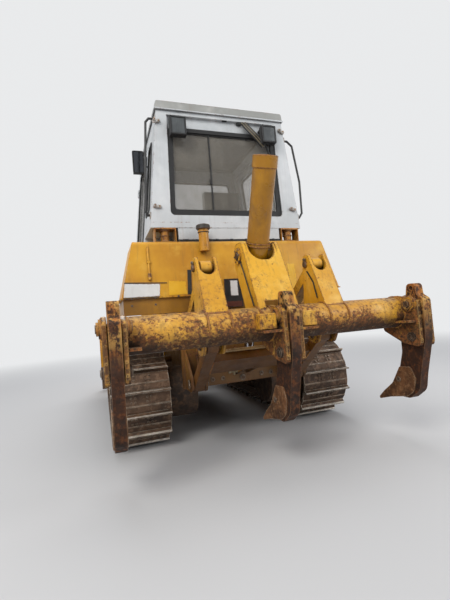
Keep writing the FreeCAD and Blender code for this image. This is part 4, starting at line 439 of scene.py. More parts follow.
# Each row: the maker, the name, its colours from 0 to 255 and the values that differ from the usual
MAT_ROWS = (
    (worn_paint, 'yellow_body', (YELLOW, YELLOW_DEEP, YELLOW_PALE), dict(chips=0.3, dirt_and_shade=0.35,
     streak=0.28)),
    (worn_paint, 'yellow_ripper', (BRIGHT, BRIGHT_DEEP, BRIGHT_PALE), dict(chips=0.6, dirt_and_shade=0.5,
     streak=0.4, edge=0.016, patches=0.05, rust_line=(1.3, 1.02, 0.085), under=0.6)),
    (worn_paint, 'yellow_ram', ((164, 112, 3), (130, 88, 1), (190, 136, 20)), dict(chips=0.35, dirt_and_shade=0.3,
     streak=0.5, rough=0.34)),
    (worn_paint, 'yellow_beam', ((222, 166, 52), (200, 142, 38), (232, 190, 96)), dict(chips=0.9,
     dirt_and_shade=0.7, streak=0.6, edge=0.022, patches=1.15, under=0.85, rust_line=(1.19, 1.0, 0.085))),
    (worn_paint, 'yellow_low', ((176, 124, 34), (138, 92, 26), (186, 142, 62)), dict(chips=0.7, dirt_and_shade=0.85,
     streak=0.6, low_darkening=(0.5, 1.5, 0.94), under=0.8)),
    (worn_paint, 'yellow_link', ((142, 90, 12), (104, 62, 8), (160, 108, 36)), dict(chips=0.7, dirt_and_shade=0.3,
     streak=0.6, low_darkening=(0.45, 1.25, 0.85), under=0.5)),
    # darker copy of the body yellow for the deck: painted shade, as its rear drop sits back under the tank's
    # lip
    (worn_paint, 'yellow_deck', ((168, 118, 30), (130, 88, 20), (182, 136, 56)), dict(chips=0.3, dirt_and_shade=0.6,
     streak=0.4)),
    (worn_paint, 'yellow_case', ((140, 96, 26), (96, 62, 16), (164, 122, 52)), dict(chips=0.9, dirt_and_shade=0.9,
     streak=0.7, patches=0.5, under=0.8, low_darkening=(0.62, 1.25, 0.6))),
    (worn_paint, 'yellow_mount', ((214, 150, 40), (176, 116, 28), YELLOW_PALE), dict(chips=0.7, dirt_and_shade=0.5,
     streak=0.5, patches=0.6, under=0.4)),
    (worn_paint, 'yellow_blade', (YELLOW, YELLOW_DEEP, YELLOW_PALE), dict(chips=0.7, dirt_and_shade=0.5, streak=0.4,
     low_darkening=(0.15, 0.75, 0.8))),
    (worn_paint, 'bright_yellow', ((238, 184, 30), (226, 168, 26), (240, 196, 70)), dict(chips=0.1,
     dirt_and_shade=0.2, streak=0.12)),
    (worn_paint, 'white_cab', ((208, 211, 214), (190, 194, 197), (220, 222, 224)), dict(chips=0.0,
     dirt_and_shade=0.3, streak=0.14)),
    (worn_paint, 'white_plate', ((232, 232, 231), (216, 217, 217), (238, 238, 238)), dict(chips=0.12,
     dirt_and_shade=0.15, streak=0.1)),
    (worn_paint, 'roof_grey', ((170, 170, 167), (148, 149, 146), (186, 186, 182)), dict(chips=0.1,
     dirt_and_shade=0.5, streak=0.15)),
    (rusty_steel, 'track', ((54, 40, 30), (98, 74, 56), (134, 106, 84), (208, 196, 178)), dict(scale=1.3,
     metal=0.35, rough=0.52, bright_edges=1.0, darkening=0.75)),
    (rusty_steel, 'track_rub', ((72, 56, 44), (112, 90, 72), (146, 122, 100), (200, 188, 170)),
     dict(scale=1.6, metal=0.4, rough=0.5, bright_edges=0.7, darkening=0.3)),
    # near white steel of the bar tips: worn steel with a painted highlight
    (rusty_steel, 'bar_tip', ((150, 136, 120), (206, 196, 182), (230, 224, 214), (240, 236, 230)),
     dict(scale=2.4, metal=0.35, rough=0.38, bright_edges=0.6, darkening=0.0, streaks=0.25)),
    (rusty_steel, 'wheels', ((46, 36, 30), (78, 60, 46), (108, 80, 58), (130, 118, 104)), dict(scale=1.0,
     metal=0.3, rough=0.65, bright_edges=0.4, darkening=0.8)),
    (rusty_steel, 'shank', ((24, 13, 6), (62, 34, 16), (112, 64, 30), (150, 112, 76)), dict(scale=1.5,
     metal=0.25, rough=0.66, bright_edges=0.6, darkening=0.0, streaks=0.85, paint_above=(0.88, 1.22, 0.75))),
    (rusty_steel, 'tooth', ((70, 46, 30), (128, 86, 54), (176, 132, 92), (206, 184, 156)), dict(scale=1.8,
     metal=0.4, rough=0.48, bright_edges=0.9)),
    (rusty_steel, 'rust_small', ((84, 52, 30), (138, 90, 46), (176, 122, 62), (196, 176, 148)),
     dict(scale=2.2, metal=0.25, rough=0.6, bright_edges=0.5)),
    (rusty_steel, 'bolt', ((48, 36, 28), (84, 62, 46), (116, 88, 64), (158, 144, 126)), dict(scale=2.6,
     metal=0.4, rough=0.5, bright_edges=0.8)),
    (worn_paint, 'weld', ((186, 130, 36), (146, 96, 34), (206, 156, 66)), dict(chips=1.2, dirt_and_shade=0.7,
     streak=0.3, edge=0.006, patches=0.9)),
    (rusty_steel, 'worn_strip', ((128, 98, 58), (170, 134, 82), (196, 164, 112), (220, 204, 172)),
     dict(scale=1.4, metal=0.2, rough=0.5, bright_edges=0.7)),
    (rusty_steel, 'pipe_steel', ((96, 84, 66), (132, 118, 92), (158, 142, 112), (190, 180, 160)),
     dict(scale=2.4, metal=0.6, rough=0.4, bright_edges=0.6)),
    (rusty_steel, 'edge_steel', ((74, 60, 50), (112, 92, 74), (140, 116, 94), (190, 184, 176)),
     dict(scale=1.0, metal=0.6, rough=0.4, bright_edges=0.8)),
    (plain_gloss, 'dark_metal', ((46, 44, 42),), dict(rough=0.55, metal=0.2)),
    (plain_gloss, 'cap_grey', ((62, 58, 54),), dict(rough=0.5, metal=0.3, drift=0.3)),
    (rusty_steel, 'engine', ((40, 36, 32), (62, 54, 46), (80, 68, 54), (100, 92, 84)), dict(scale=1.0,
     metal=0.2)),
    (plain_gloss, 'chrome', ((200, 200, 202),), dict(rough=0.14, metal=1.0, drift=0.06)),
    (plain_gloss, 'black_paint', ((26, 26, 27),), dict(rough=0.35)),
    (plain_gloss, 'rubber', ((25, 25, 26),), dict(rough=0.6, metal=0.0, drift=0.2, bump_scale=300,
     bump=0.2, dusty=0.2)),
    (plain_gloss, 'plastic', ((30, 30, 32),), dict(rough=0.5, metal=0.0, drift=0.15, bump_scale=400,
     bump=0.25, dusty=0.2)),
    (plain_gloss, 'lamp_lens', ((92, 96, 98),), dict(rough=0.12, metal=0.3, drift=0.25, bump_scale=260,
     bump=0.15, dusty=0.3)),
    (plain_gloss, 'trim', ((70, 70, 72),), dict(rough=0.55, metal=0.0, drift=0.15, bump_scale=350,
     bump=0.3)),
    (woven_cover, 'fabric', ((64, 62, 62), (38, 37, 38)), {}),
    (window_glass, 'glass', ((132, 126, 116),), {}),
    (worn_paint, 'filler', (YELLOW, YELLOW_DEEP, YELLOW_PALE), dict(chips=0.4, dirt_and_shade=0.6, streak=0.4,
     dark_above=CAP_LOW_Z, patches=0.2)),
    (worn_paint, 'bracket_grey', ((190, 188, 184), (160, 156, 150), (206, 204, 200)), dict(chips=0.9,
     dirt_and_shade=0.4, streak=0.3, edge=0.006)),
    (rusty_steel, 'strap_rust', ((58, 36, 20), (118, 76, 36), (176, 122, 52), (212, 170, 96)),
     dict(scale=2.6, metal=0.15, rough=0.6, bright_edges=0.8, darkening=0.0, streaks=0.8)),
    (plain_gloss, 'mirror_dark', ((72, 74, 78),), dict(rough=0.08, metal=0.9, drift=0.1, bump_scale=200,
     bump=0.02, dusty=0.1)),
    (worn_paint, 'sign', ((34, 33, 33), (24, 24, 24), (52, 50, 48)), dict(chips=0.1, dirt_and_shade=0.2,
     streak=0.1)),
    (worn_paint, 'red_brown', ((96, 44, 32), (74, 34, 26), (112, 58, 42)), dict(chips=0.2, dirt_and_shade=0.4,
     streak=0.2)),
    (plain_gloss, 'grease', ((40, 34, 28),), dict(rough=0.28, metal=0.0, drift=0.5, bump_scale=60,
     bump=0.6, dusty=0.1)),
)
MATS = {name: maker(name, [srgb(*tone) for tone in tones], **values)
        for maker, name, tones, values in MAT_ROWS}

NODE_MATS = {
    # the deck's darker yellow is painted shade
    'yellow_deck': ['platform'],
    'yellow_body': ['fuel_tank', 'hood', 'hood_sides', 'radiator_guard', 'lift_posts',
                    'lift_barrels', 'tilt_barrel'],
    'yellow_ripper': ['ripper_arms', 'ripper_tower', 'upper_links'],
    'yellow_ram': ['ram_barrel'],
    'yellow_beam': ['ripper_beam'],
    'yellow_low': ['hull', 'belly_guard', 'track_frames', 'cross_tubes', 'blade_frame'],
    'yellow_link': ['lower_link'],
    'yellow_mount': ['cab_mounts'],
    'yellow_case': ['ripper_mount'],
    'rubber': ['cab_rear_seal'],
    'yellow_blade': ['blade'],
    'white_cab': ['cab_floor', 'cab_rear_wall', 'cab_front_wall', 'cab_sides', 'cab_door_left',
                  'cab_door_right'],
    'roof_grey': ['cab_roof'],
    'track': ['track_left', 'track_right'],
    'wheels': ['sprockets', 'track_wheels'],
    'shank': ['ripper_shanks', 'shank_pins'],
    'tooth': ['ripper_teeth'],
    'edge_steel': ['cutting_edge'],
    'engine': ['engine_block', 'radiator'],
    'dark_metal': ['grille', 'exhaust_stack', 'air_cleaner'],
    'filler': ['tank_fittings'],
    'chrome': ['lift_rods', 'tilt_rod', 'ram_rod'],
    'glass': ['cab_glass', 'door_glass_left', 'door_glass_right'],
    'black_paint': ['handrails', 'mirror'],
    'plastic': ['work_lamps'],
    'trim': ['cab_fittings'],
    'fabric': ['seat'],
}

# Mesh helpers

SHARP_ANGLE = math.radians(35)


class Kit:
    """Gathers the solids of one piece in a mesh, with places measured from the tracks' rear end."""

    def __init__(self, name, mat, body='machine'):
        self.name = name
        self.mat = mat
        self.body = body
        self.bm = bmesh.new()

    def box(self, centre, size, bevel=0.002, turn=None):
        """Block with narrow chamfers; turn is a rotation about its centre."""
        place = Matrix.Translation(at(*centre))
        if turn:
            place = place @ turn.to_4x4()
        made = bmesh.ops.create_cube(self.bm, size=1.0, matrix=place @ Matrix.Diagonal((*size, 1)))
        if bevel:
            edges = list({edge for vert in made['verts'] for edge in vert.link_edges})
            bmesh.ops.bevel(self.bm, geom=edges, offset=bevel, segments=1, affect='EDGES')

    def rod(self, start, end, radius, sides=16, end_radius=None):
        """Round bar or cone between two places."""
        a = at(*start)
        b = at(*end)
        axis = b - a
        place = Matrix.Translation((a + b) / 2) @ axis.to_track_quat('Z', 'Y').to_matrix().to_4x4()
        bmesh.ops.create_cone(
            self.bm, cap_ends=True, segments=sides, radius1=radius,
            radius2=radius if end_radius is None else end_radius, depth=axis.length, matrix=place)

    def disc(self, face, out, low, high, spot, radius, sides, end_radius=None):
        """Short round bar along X, from one distance to another beyond a face."""
        self.rod((face + out * low, *spot), (face + out * high, *spot), radius, sides, end_radius)

    def bolt(self, place, axis, size, height, washer=True):
        """Hexagon head on a washer; the axis points away from the face."""
        base = Vector(place)
        out = Vector(axis).normalized()
        if washer:
            self.rod(base - out * 0.003, base + out * 0.003, size * 1.25, 12)
        self.rod(base, base + out * height, size, 6, size * 0.94)

    def tube(self, points, radius, sides=10, closed=False):
        """Bent round bar through a list of places, with mitred corners."""
        path = [at(*point) for point in points]
        count = len(path)
        rings = []
        side = None
        for i, spot in enumerate(path):
            before = path[i - 1] if i > 0 or closed else None
            behind = path[(i + 1) % count] if i < count - 1 or closed else None
            into = (spot - before).normalized() if before is not None else (behind - spot).normalized()
            onward = (behind - spot).normalized() if behind is not None else into
            along = (into + onward).normalized()
            if side is None:
                side = along.orthogonal().normalized()
            side = (side - along * side.dot(along)).normalized()
            up = along.cross(side)
            ring = []
            for k in range(sides):
                angle = 2 * math.pi * k / sides
                spoke = math.cos(angle) * side + math.sin(angle) * up
                ring.append(self.bm.verts.new(spot + radius * spoke))
            rings.append(ring)
        spans = count if closed else count - 1
        for i in range(spans):
            a = rings[i]
            b = rings[(i + 1) % count]
            for k in range(sides):
                self.bm.faces.new((a[k], a[(k + 1) % sides], b[(k + 1) % sides], b[k]))
        if not closed:
            self.bm.faces.new(list(reversed(rings[0])))
            self.bm.faces.new(rings[-1])

    def ring(self, centre, axis, radius, thick, sides=10, steps=40, start=0.0, sweep=2 * math.pi):
        """Ring or arc of round bar about a centre, such as a weld bead or clamp."""
        out = Vector(axis).normalized()
        u = out.orthogonal().normalized()
        if abs(out.x) > 0.9:
            u = Vector((0, 1, 0))
        v = out.cross(u)
        full = abs(sweep - 2 * math.pi) < 1e-6
        points = []
        for i in range(steps if full else steps + 1):
            angle = start + sweep * i / steps
            points.append(Vector(centre) + radius * (math.cos(angle) * u + math.sin(angle) * v))
        self.tube(points, thick, sides, full)

    def plate(self, outline, push):
        """Flat plate from places round its outline, pushed by a vector."""
        low = [self.bm.verts.new(at(*spot)) for spot in outline]
        high = [self.bm.verts.new(at(*(Vector(spot) + Vector(push)))) for spot in outline]
        self.bm.faces.new(low)
        self.bm.faces.new(list(reversed(high)))
        count = len(outline)
        for i in range(count):
            self.bm.faces.new((low[i], low[(i + 1) % count], high[(i + 1) % count], high[i]))

    def finish(self):
        """Make the piece, which rides on its body."""
        bmesh.ops.recalc_face_normals(self.bm, faces=self.bm.faces[:])
        mesh = bpy.data.meshes.new(self.name)
        self.bm.to_mesh(mesh)
        self.bm.free()
        for face in mesh.polygons:
            face.use_smooth = True
        mesh.set_sharp_from_angle(angle=SHARP_ANGLE)
        obj = bpy.data.objects.new(self.name, mesh)
        bpy.context.scene.collection.objects.link(obj)
        mesh.materials.append(MATS[self.mat])
        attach(obj, self.body)


def make(*kits):
    """Make several pieces, in this order."""
    for kit in kits:
        kit.finish()


def rounded(corners, radius, steps=5):
    """Points of a flat outline whose corners are rounded."""
    points = []
    count = len(corners)
    for i, corner in enumerate(corners):
        here = Vector(corner)
        before = (Vector(corners[i - 1]) - here).normalized()
        behind = (Vector(corners[(i + 1) % count]) - here).normalized()
        start = here + before * radius
        end = here + behind * radius
        for k in range(steps + 1):
            share = k / steps
            first = start.lerp(here, share)
            second = here.lerp(end, share)
            points.append(tuple(first.lerp(second, share)))
    return points


# Tracks

TRACK_X = 0.96
PITCH = 0.172
TURN_PITCHES = 13
FLAT_PITCHES = 13
PITCH_RADIUS = PITCH / (2 * math.sin(math.pi / TURN_PITCHES))
SHOE_OUT = 0.054
TIP_OUT = SHOE_OUT + 0.049
AXLE_Z = PITCH_RADIUS + TIP_OUT
REAR_AXLE_Y = PITCH_RADIUS + TIP_OUT
FRONT_AXLE_Y = REAR_AXLE_Y + FLAT_PITCHES * PITCH
HUB_FACE = TRACK_X + 0.105
TOOTHED_FACE = TRACK_X + 0.035
FRAME_FACE = TRACK_X + 0.14
ROLLER_YS = [0.9 + 0.275 * i for i in range(6)]
SHOE_BOLT_XS = (-0.088, -0.052, 0.052, 0.088)
SHOE_BOLT_SHARES = (0.078, 0.118)


def track_spot(pitches):
    """Place (y, z) on the chain's pitch line, counted in pitches from the rear end of the ground run."""
    step = 2 * math.pi / TURN_PITCHES
    along = pitches % (2 * FLAT_PITCHES + TURN_PITCHES)
    if along <= FLAT_PITCHES:
        return Vector((REAR_AXLE_Y + along * PITCH, AXLE_Z - PITCH_RADIUS))
    along -= FLAT_PITCHES
    if along <= TURN_PITCHES / 2:
        angle = along * step
        return Vector((FRONT_AXLE_Y + PITCH_RADIUS * math.sin(angle),
                       AXLE_Z - PITCH_RADIUS * math.cos(angle)))
    along -= TURN_PITCHES / 2
    if along <= FLAT_PITCHES:
        return Vector((FRONT_AXLE_Y - along * PITCH, AXLE_Z + PITCH_RADIUS))
    angle = (along - FLAT_PITCHES) * step
    return Vector((REAR_AXLE_Y - PITCH_RADIUS * math.sin(angle), AXLE_Z + PITCH_RADIUS * math.cos(angle)))


def shoe_details(side, phase):
    """Bolts, the low second ridge, and the worn bar tip with a painted highlight on it, on every shoe of one
    track.
    """
    name = 'left' if side < 0 else 'right'
    bolts = Kit('shoe_bolts_' + name, 'bolt')
    ridges = Kit('shoe_ridges_' + name, 'track_rub')
    tips = Kit('bar_tips_' + name, 'bar_tip')
    lean = turned(-0.14)
    for shoe in range(2 * FLAT_PITCHES + TURN_PITCHES):
        start = track_spot(shoe + phase)
        end = track_spot(shoe + 1 + phase)
        along = (end - start).normalized()
        out = Vector((along.y, -along.x))
        scale = (end - start).length / PITCH
        turn = turned(math.atan2(along.y, along.x))

        def spot(x, share, height):
            flat = start + along * share * scale + out * height
            return Vector((side * TRACK_X + x, flat.x, flat.y))

        for x, share in product(SHOE_BOLT_XS, SHOE_BOLT_SHARES):
            bolts.bolt(spot(x, share, SHOE_OUT), (0, out.x, out.y), 0.011, 0.009, False)
        # pale strips on each bar's tip and upper face: worn steel with a painted highlight
        tips.box(spot(0, 0.035, TIP_OUT - 0.0027), (0.5295, 0.0128, 0.0052), 0.001, turn)
        tips.box(spot(0, 0.0275, SHOE_OUT + 0.036), (0.524, 0.0035, 0.022), 0.001, turn @ lean)
        ridges.box(spot(0, 0.150, SHOE_OUT + 0.002), (0.526, 0.016, 0.008), 0.003, turn)
    make(bolts, ridges, tips)


def wheel_details():
    """Bolt rings and hub caps on the final drives, and shaft ends of the rollers and idlers."""
    kit = Kit('wheel_bolts', 'bolt')
    rear = (REAR_AXLE_Y, AXLE_Z)
    front = (FRONT_AXLE_Y, AXLE_Z)
    for side in SIDES:
        out = (side, 0, 0)
        hub = side * HUB_FACE
        for face, count, radius, shift in ((hub, 10, 0.115, 0), (side * TOOTHED_FACE, 20, 0.225, 0.5)):
            for _, y, z in round_spots(count, radius, *rear, shift):
                kit.bolt((face, y, z), out, 0.014, 0.012)
        kit.disc(hub, side, 0, 0.012, rear, 0.07, 24, 0.06)
        kit.bolt((hub + side * 0.012, *rear), out, 0.02, 0.012)
        face = side * FRAME_FACE
        for y in ROLLER_YS:
            kit.disc(face, side, -0.001, 0.012, (y, 0.222), 0.036, 18, 0.032)
        kit.ring((face, *front), X_AXIS, 0.05, 0.006)
        kit.disc(face, side, -0.002, 0.014, front, 0.05, 20, 0.046)
        for z in (0.425, 0.495):
            kit.bolt((face, FRONT_AXLE_Y - 0.09, z), out, 0.012, 0.01)
    make(kit)


def frame_details():
    """Side stiffeners, a tension cover and bolts on the track frames."""
    ribs = Kit('track_frame_ribs', 'yellow_low')
    bolts = Kit('track_frame_bolts', 'bolt')
    for side in SIDES:
        face = side * FRAME_FACE
        x = face + side * 0.004
        ribs.box((x, 1.56, 0.30), (0.010, 1.46, 0.016), 0.003)
        ribs.box((x, 1.56, 0.475), (0.010, 1.30, 0.016), 0.003)
        for y in (1.04, 1.315, 1.59, 1.865, 2.14):
            ribs.box((x, y, 0.388), (0.010, 0.014, 0.16), 0.003)
        ribs.box((face + side * 0.006, 2.23, 0.455), (0.014, 0.15, 0.075), 0.004)
        for y, z in product((2.17, 2.29), (0.43, 0.48)):
            bolts.bolt((face + side * 0.013, y, z), (side, 0, 0), 0.009, 0.007)
        for y, shift in product(ROLLER_YS, (-0.055, 0.055)):
            bolts.bolt((face, y + shift, 0.235), (side, 0, 0), 0.011, 0.009)
    make(ribs, bolts)


# Ripper

BEAM_Y = -0.81
BEAM_Z = 1.10
BEAM_RADIUS = 0.128
SHANK_SPACING = 1.187
SHANK_HALF = 0.038
POCKET_FACE = SHANK_HALF + 0.004 + 0.032
SHANK_PIN = (-0.985, 1.160)
SPARE_PIN = (-0.985, 0.895)
TOOTH_PIN = (-0.765, 0.520)
LINK_X = 0.485
ARM_HALF = 0.085
REAR_LOW = (BEAM_Y - 0.12, BEAM_Z)
REAR_HIGH = (-0.68, 1.64)
UPPER_PIN_FRAME = (-0.64, 1.56)
LOWER_PIN_FRAME = (-0.66, 0.965)
UPPER_PIN_HULL = (-0.15, 1.195)
LOWER_PIN_HULL = (-0.17, 0.60)
RAM_PIN = (-0.55, 1.66)
RAM_FOOT = (-0.15, 0.75)


def rear_edge_y(z):
    """Rear face of the ripper's uprights at a height."""
    share = (z - REAR_LOW[1]) / (REAR_HIGH[1] - REAR_LOW[1])
    return REAR_LOW[0] + share * (REAR_HIGH[0] - REAR_LOW[0])


def pin_keeper(kit, bolts, x, out, spot, reach=0.06, tilt=0.0):
    """Round pin end with a keeper plate held by a bolt."""
    y, z = spot
    kit.disc(x, out, -0.002, 0.010, spot, 0.026, 20, 0.023)
    kit.box((x + out * 0.003, y, z + reach * 0.55), (0.008, 0.034, reach), 0.002, turned(tilt))
    bolts.bolt((x + out * 0.007, y, z + reach * 0.85), (out, 0, 0), 0.008, 0.006)


def ripper_details():
    """Pin ends, keepers, weld beads, stop blocks, straps and grease pipes on the ripper's moving frame."""
    blocks = Kit('stop_blocks', 'yellow_ripper', 'ripper')
    strap = Kit('pocket_straps', 'strap_rust', 'ripper')
    pipes = Kit('grease_pipes', 'black_paint', 'ripper')
    steel = Kit('ripper_pin_ends', 'bolt', 'ripper')
    bolts = Kit('ripper_bolts', 'bolt', 'ripper')
    welds = Kit('ripper_welds', 'weld', 'ripper')

    def beam_weld(x, thick, steps, *arc):
        welds.ring((x, BEAM_Y, BEAM_Z), X_AXIS, BEAM_RADIUS + 0.002, thick, 8, steps, *arc)

    for x, out in product((-SHANK_SPACING, 0, SHANK_SPACING), SIDES):
        wall = x + out * POCKET_FACE
        steel.disc(wall + out * 0.030, out, -0.004, 0.006, SHANK_PIN, 0.028, 6, 0.026)
        welds.ring((wall, *SHANK_PIN), X_AXIS, 0.062, 0.006, 8, 36)
        if x == 0 or out * x < 0:
            beam_weld(wall, 0.009, 48)
        tooth_face = x + out * (SHANK_HALF + 0.008)
        steel.disc(tooth_face, out, -0.004, 0.004, TOOTH_PIN, 0.016, 14, 0.014)
        steel.ring((tooth_face, *TOOTH_PIN), X_AXIS, 0.022, 0.003, 6, 20)
        # the second pin place low on every pocket, flatter on the outermost walls
        reach = 0.018 if abs(wall) < 1.26 else 0.016
        steel.disc(wall, out, -0.002, reach, SPARE_PIN, 0.040, 20, 0.036)
        steel.disc(wall, out, reach, reach + 0.006, SPARE_PIN, 0.022, 6)
        strap.box((x + out * 0.058, -1.062, 1.015), (0.030, 0.012, 0.340), 0.004)
        for z in (0.875, 0.955, 1.06, 1.145):
            strap.bolt((x + out * 0.058, -1.067, z), BACKWARD, 0.009, 0.006, False)
    for side in SIDES:
        middle = side * LINK_X
        for out in SIDES:
            edge = middle + out * ARM_HALF
            beam_weld(edge, 0.008, 40, -1.0, 4.2)
            for pin, tilt in ((UPPER_PIN_FRAME, 0.4), (LOWER_PIN_FRAME, 2.4)):
                pin_keeper(steel, bolts, edge + out * 0.008, out, pin, 0.05, tilt)
        seam = ((0.004 - ARM_HALF, 1.205), (0, 1.203), (ARM_HALF - 0.004, 1.205))
        welds.tube([(middle + x, rear_edge_y(1.205) - 0.001, z) for x, z in seam], 0.006, 8)
        x = side * (LINK_X - ARM_HALF - 0.006)
        pipes.tube([(x, -0.66, 1.50), (x, -0.74, 1.40), (x, -0.78, 1.27)], 0.005, 8)
        beam_weld(side * 0.165, 0.008, 36, 0.1, 3.0)
        for _, y, z in round_spots(6, 0.052, *RAM_PIN):
            bolts.bolt((side * 0.179, y, z), (side, 0, 0), 0.007, 0.006)
        steel.disc(0, side, 0.174, 0.186, RAM_PIN, 0.034, 20, 0.03)
        # worn stop blocks on the middle ledges
        blocks.box((side * 0.162, -0.972, 1.118), (0.128, 0.088, 0.116), 0.008)
    # grease nipple and its thin pipe on the tower's left cheek
    pipes.tube([(-0.172, -0.60, 1.60), (-0.176, -0.66, 1.52), (-0.174, -0.74, 1.36), (-0.172, -0.80, 1.24)],
               0.005, 8)
    pipes.rod((-0.165, -0.60, 1.60), (-0.185, -0.60, 1.60), 0.009, 8)
    make(blocks, strap, pipes, steel, bolts, welds)


def ram_details():
    """Oil pipe with clamps, weld beads, end cap with its screws and wiper ring on the ripper's ram."""
    foot = Vector((0, *RAM_FOOT))
    pin = Vector((0, *RAM_PIN))
    axis = (foot - pin).normalized()
    back = Vector((0, axis.z, -axis.y))

    def spot(distance, out=0.0):
        return pin + axis * distance - back * out

    pipe = Kit('ram_pipe', 'yellow_ram', 'ram_barrel_unit')
    path = ((-0.70, 0.085), (-0.70, 0.128), (-0.66, 0.140), (0.0, 0.140), (0.03, 0.128))
    pipe.tube([spot(*place) for place in path], 0.013, 12)
    for distance in (-0.60, -0.40, -0.20):
        pipe.box(spot(distance, 0.120), (0.05, 0.055, 0.026), 0.003, turned(-math.atan2(axis.y, -axis.z)))
    welds = Kit('ram_welds', 'weld', 'ram_barrel_unit')
    for distance, radius, thick in ((-0.776, 0.092, 0.006), (-0.69, 0.0925, 0.005),
                                    (-0.112, 0.0985, 0.005), (-0.088, 0.0985, 0.005)):
        welds.ring(spot(distance), axis, radius, thick, 8, 48)
    cap = Kit('ram_cap', 'yellow_ram', 'ram_barrel_unit')
    cap.rod(spot(-0.774), spot(-0.785), 0.070, 28, 0.066)
    for _, x, lift in round_spots(8, 0.082, 0, 0):
        cap.bolt(spot(-0.776, -lift) + Vector((x, 0, 0)), -axis, 0.007, 0.007, False)
    wiper = Kit('ram_wiper_ring', 'rubber', 'ram_barrel_unit')
    wiper.ring(spot(0.11), axis, 0.055, 0.010, 10, 40)
    make(pipe, welds, cap, wiper)


def mount_details():
    """Bolts, plug, pin ends, pipe fitting, pipes and weld beads on the rear case and the ripper's mount."""
    bolts = Kit('mount_bolts', 'bolt')
    steel = Kit('mount_pin_ends', 'bolt')
    small = Kit('mount_pin_bolts', 'bolt')
    fitting = Kit('mount_fitting', 'pipe_steel')
    pipes = Kit('mount_pipes', 'black_paint')
    welds = Kit('mount_welds', 'weld')
    for side in SIDES:
        for x, z in ((0.20, 1.22), (0.30, 1.22), (0.20, 0.60), (0.30, 0.60),
                     (0.20, 1.10), (0.35, 1.02), (0.35, 0.90), (0.35, 0.78)):
            bolts.bolt((side * x, 0.010, z), BACKWARD, 0.017, 0.014)
        for out in SIDES:
            edge = side * LINK_X + out * 0.079
            pin_keeper(steel, small, edge, out, UPPER_PIN_HULL, 0.045, -0.8)
            pin_keeper(steel, small, edge, out, LOWER_PIN_HULL, 0.05, -0.6)
            x = side * LINK_X + out * 0.051
            for heights in ((0.56, 0.74, 0.90), (1.12, 1.24)):
                welds.tube([(x, 0.008, z) for z in heights], 0.006, 8)
        steel.disc(0, side, 0.08, 0.088, RAM_FOOT, 0.028, 20, 0.025)
    bolts.bolt((0.0, 0.010, 0.585), BACKWARD, 0.024, 0.014)
    x, y, z = -0.104, -0.05, 0.660
    fitting.rod((x, 0.012, z), (x, -0.055, z), 0.016, 12)
    fitting.rod((x, y, z), (x, y, 0.630), 0.012, 12)
    for low, high, radius, sides in ((-0.150, -0.058, 0.013, 12), (-0.158, -0.142, 0.019, 6),
                                     (-0.078, -0.062, 0.019, 6)):
        fitting.rod((low, y, z), (high, y, z), radius, sides)
    path = ((0.005, 0.86), (-0.018, 0.88), (-0.018, 1.20), (0.02, 1.278), (0.08, 1.30))
    for x in (-0.30, -0.26, 0.26):
        pipes.tube([(x, y, z) for y, z in path], 0.010, 10)
        for z in (0.95, 1.12):
            pipes.box((x, -0.014, z), (0.034, 0.03, 0.018))
    make(bolts, steel, small, fitting, pipes, welds)


def link_details():
    """Weld beads and worn cross strip on the lower link."""
    low = Vector((0, *LOWER_PIN_HULL))
    high = Vector((0, *LOWER_PIN_FRAME))
    along = (high - low).normalized()
    out = Vector((0, along.z, -along.y))

    def spot(x, distance, height):
        return low + along * distance + out * height + Vector((x, 0, 0))

    strip = Kit('lower_link_strip', 'worn_strip', 'lower_link_unit')
    strip.box(spot(-0.02, 0.445, 0.045), (0.62, 0.016, 0.026), 0.004, turned(math.atan2(along.z, along.y)))
    welds = Kit('lower_link_welds', 'weld', 'lower_link_unit')
    for side, height in product(SIDES, (0.037, -0.037)):
        welds.tube([spot(side * 0.44, distance, height) for distance in (0.25, 0.33, 0.42)], 0.007, 8)
    make(strip, welds)


# Tank and deck

TANK_TOP = 1.898
TANK_LOW = 1.395
TANK_LIP_Z = 1.390
FILLER = (-0.321, -0.125)


def tank_wall_y(z):
    """Rear wall of the fuel tank at a height."""
    share = (z - TANK_LOW) / (TANK_TOP - TANK_LOW)
    return -0.139 + share * (-0.073 + 0.139)


def wall_plate(kit, corners, thick):
    """Thin plate that lies on the tank's rear wall, from (x, z) corners."""
    kit.plate([(x, tank_wall_y(z) - 0.0005, z) for x, z in corners], (0, -thick, 0))


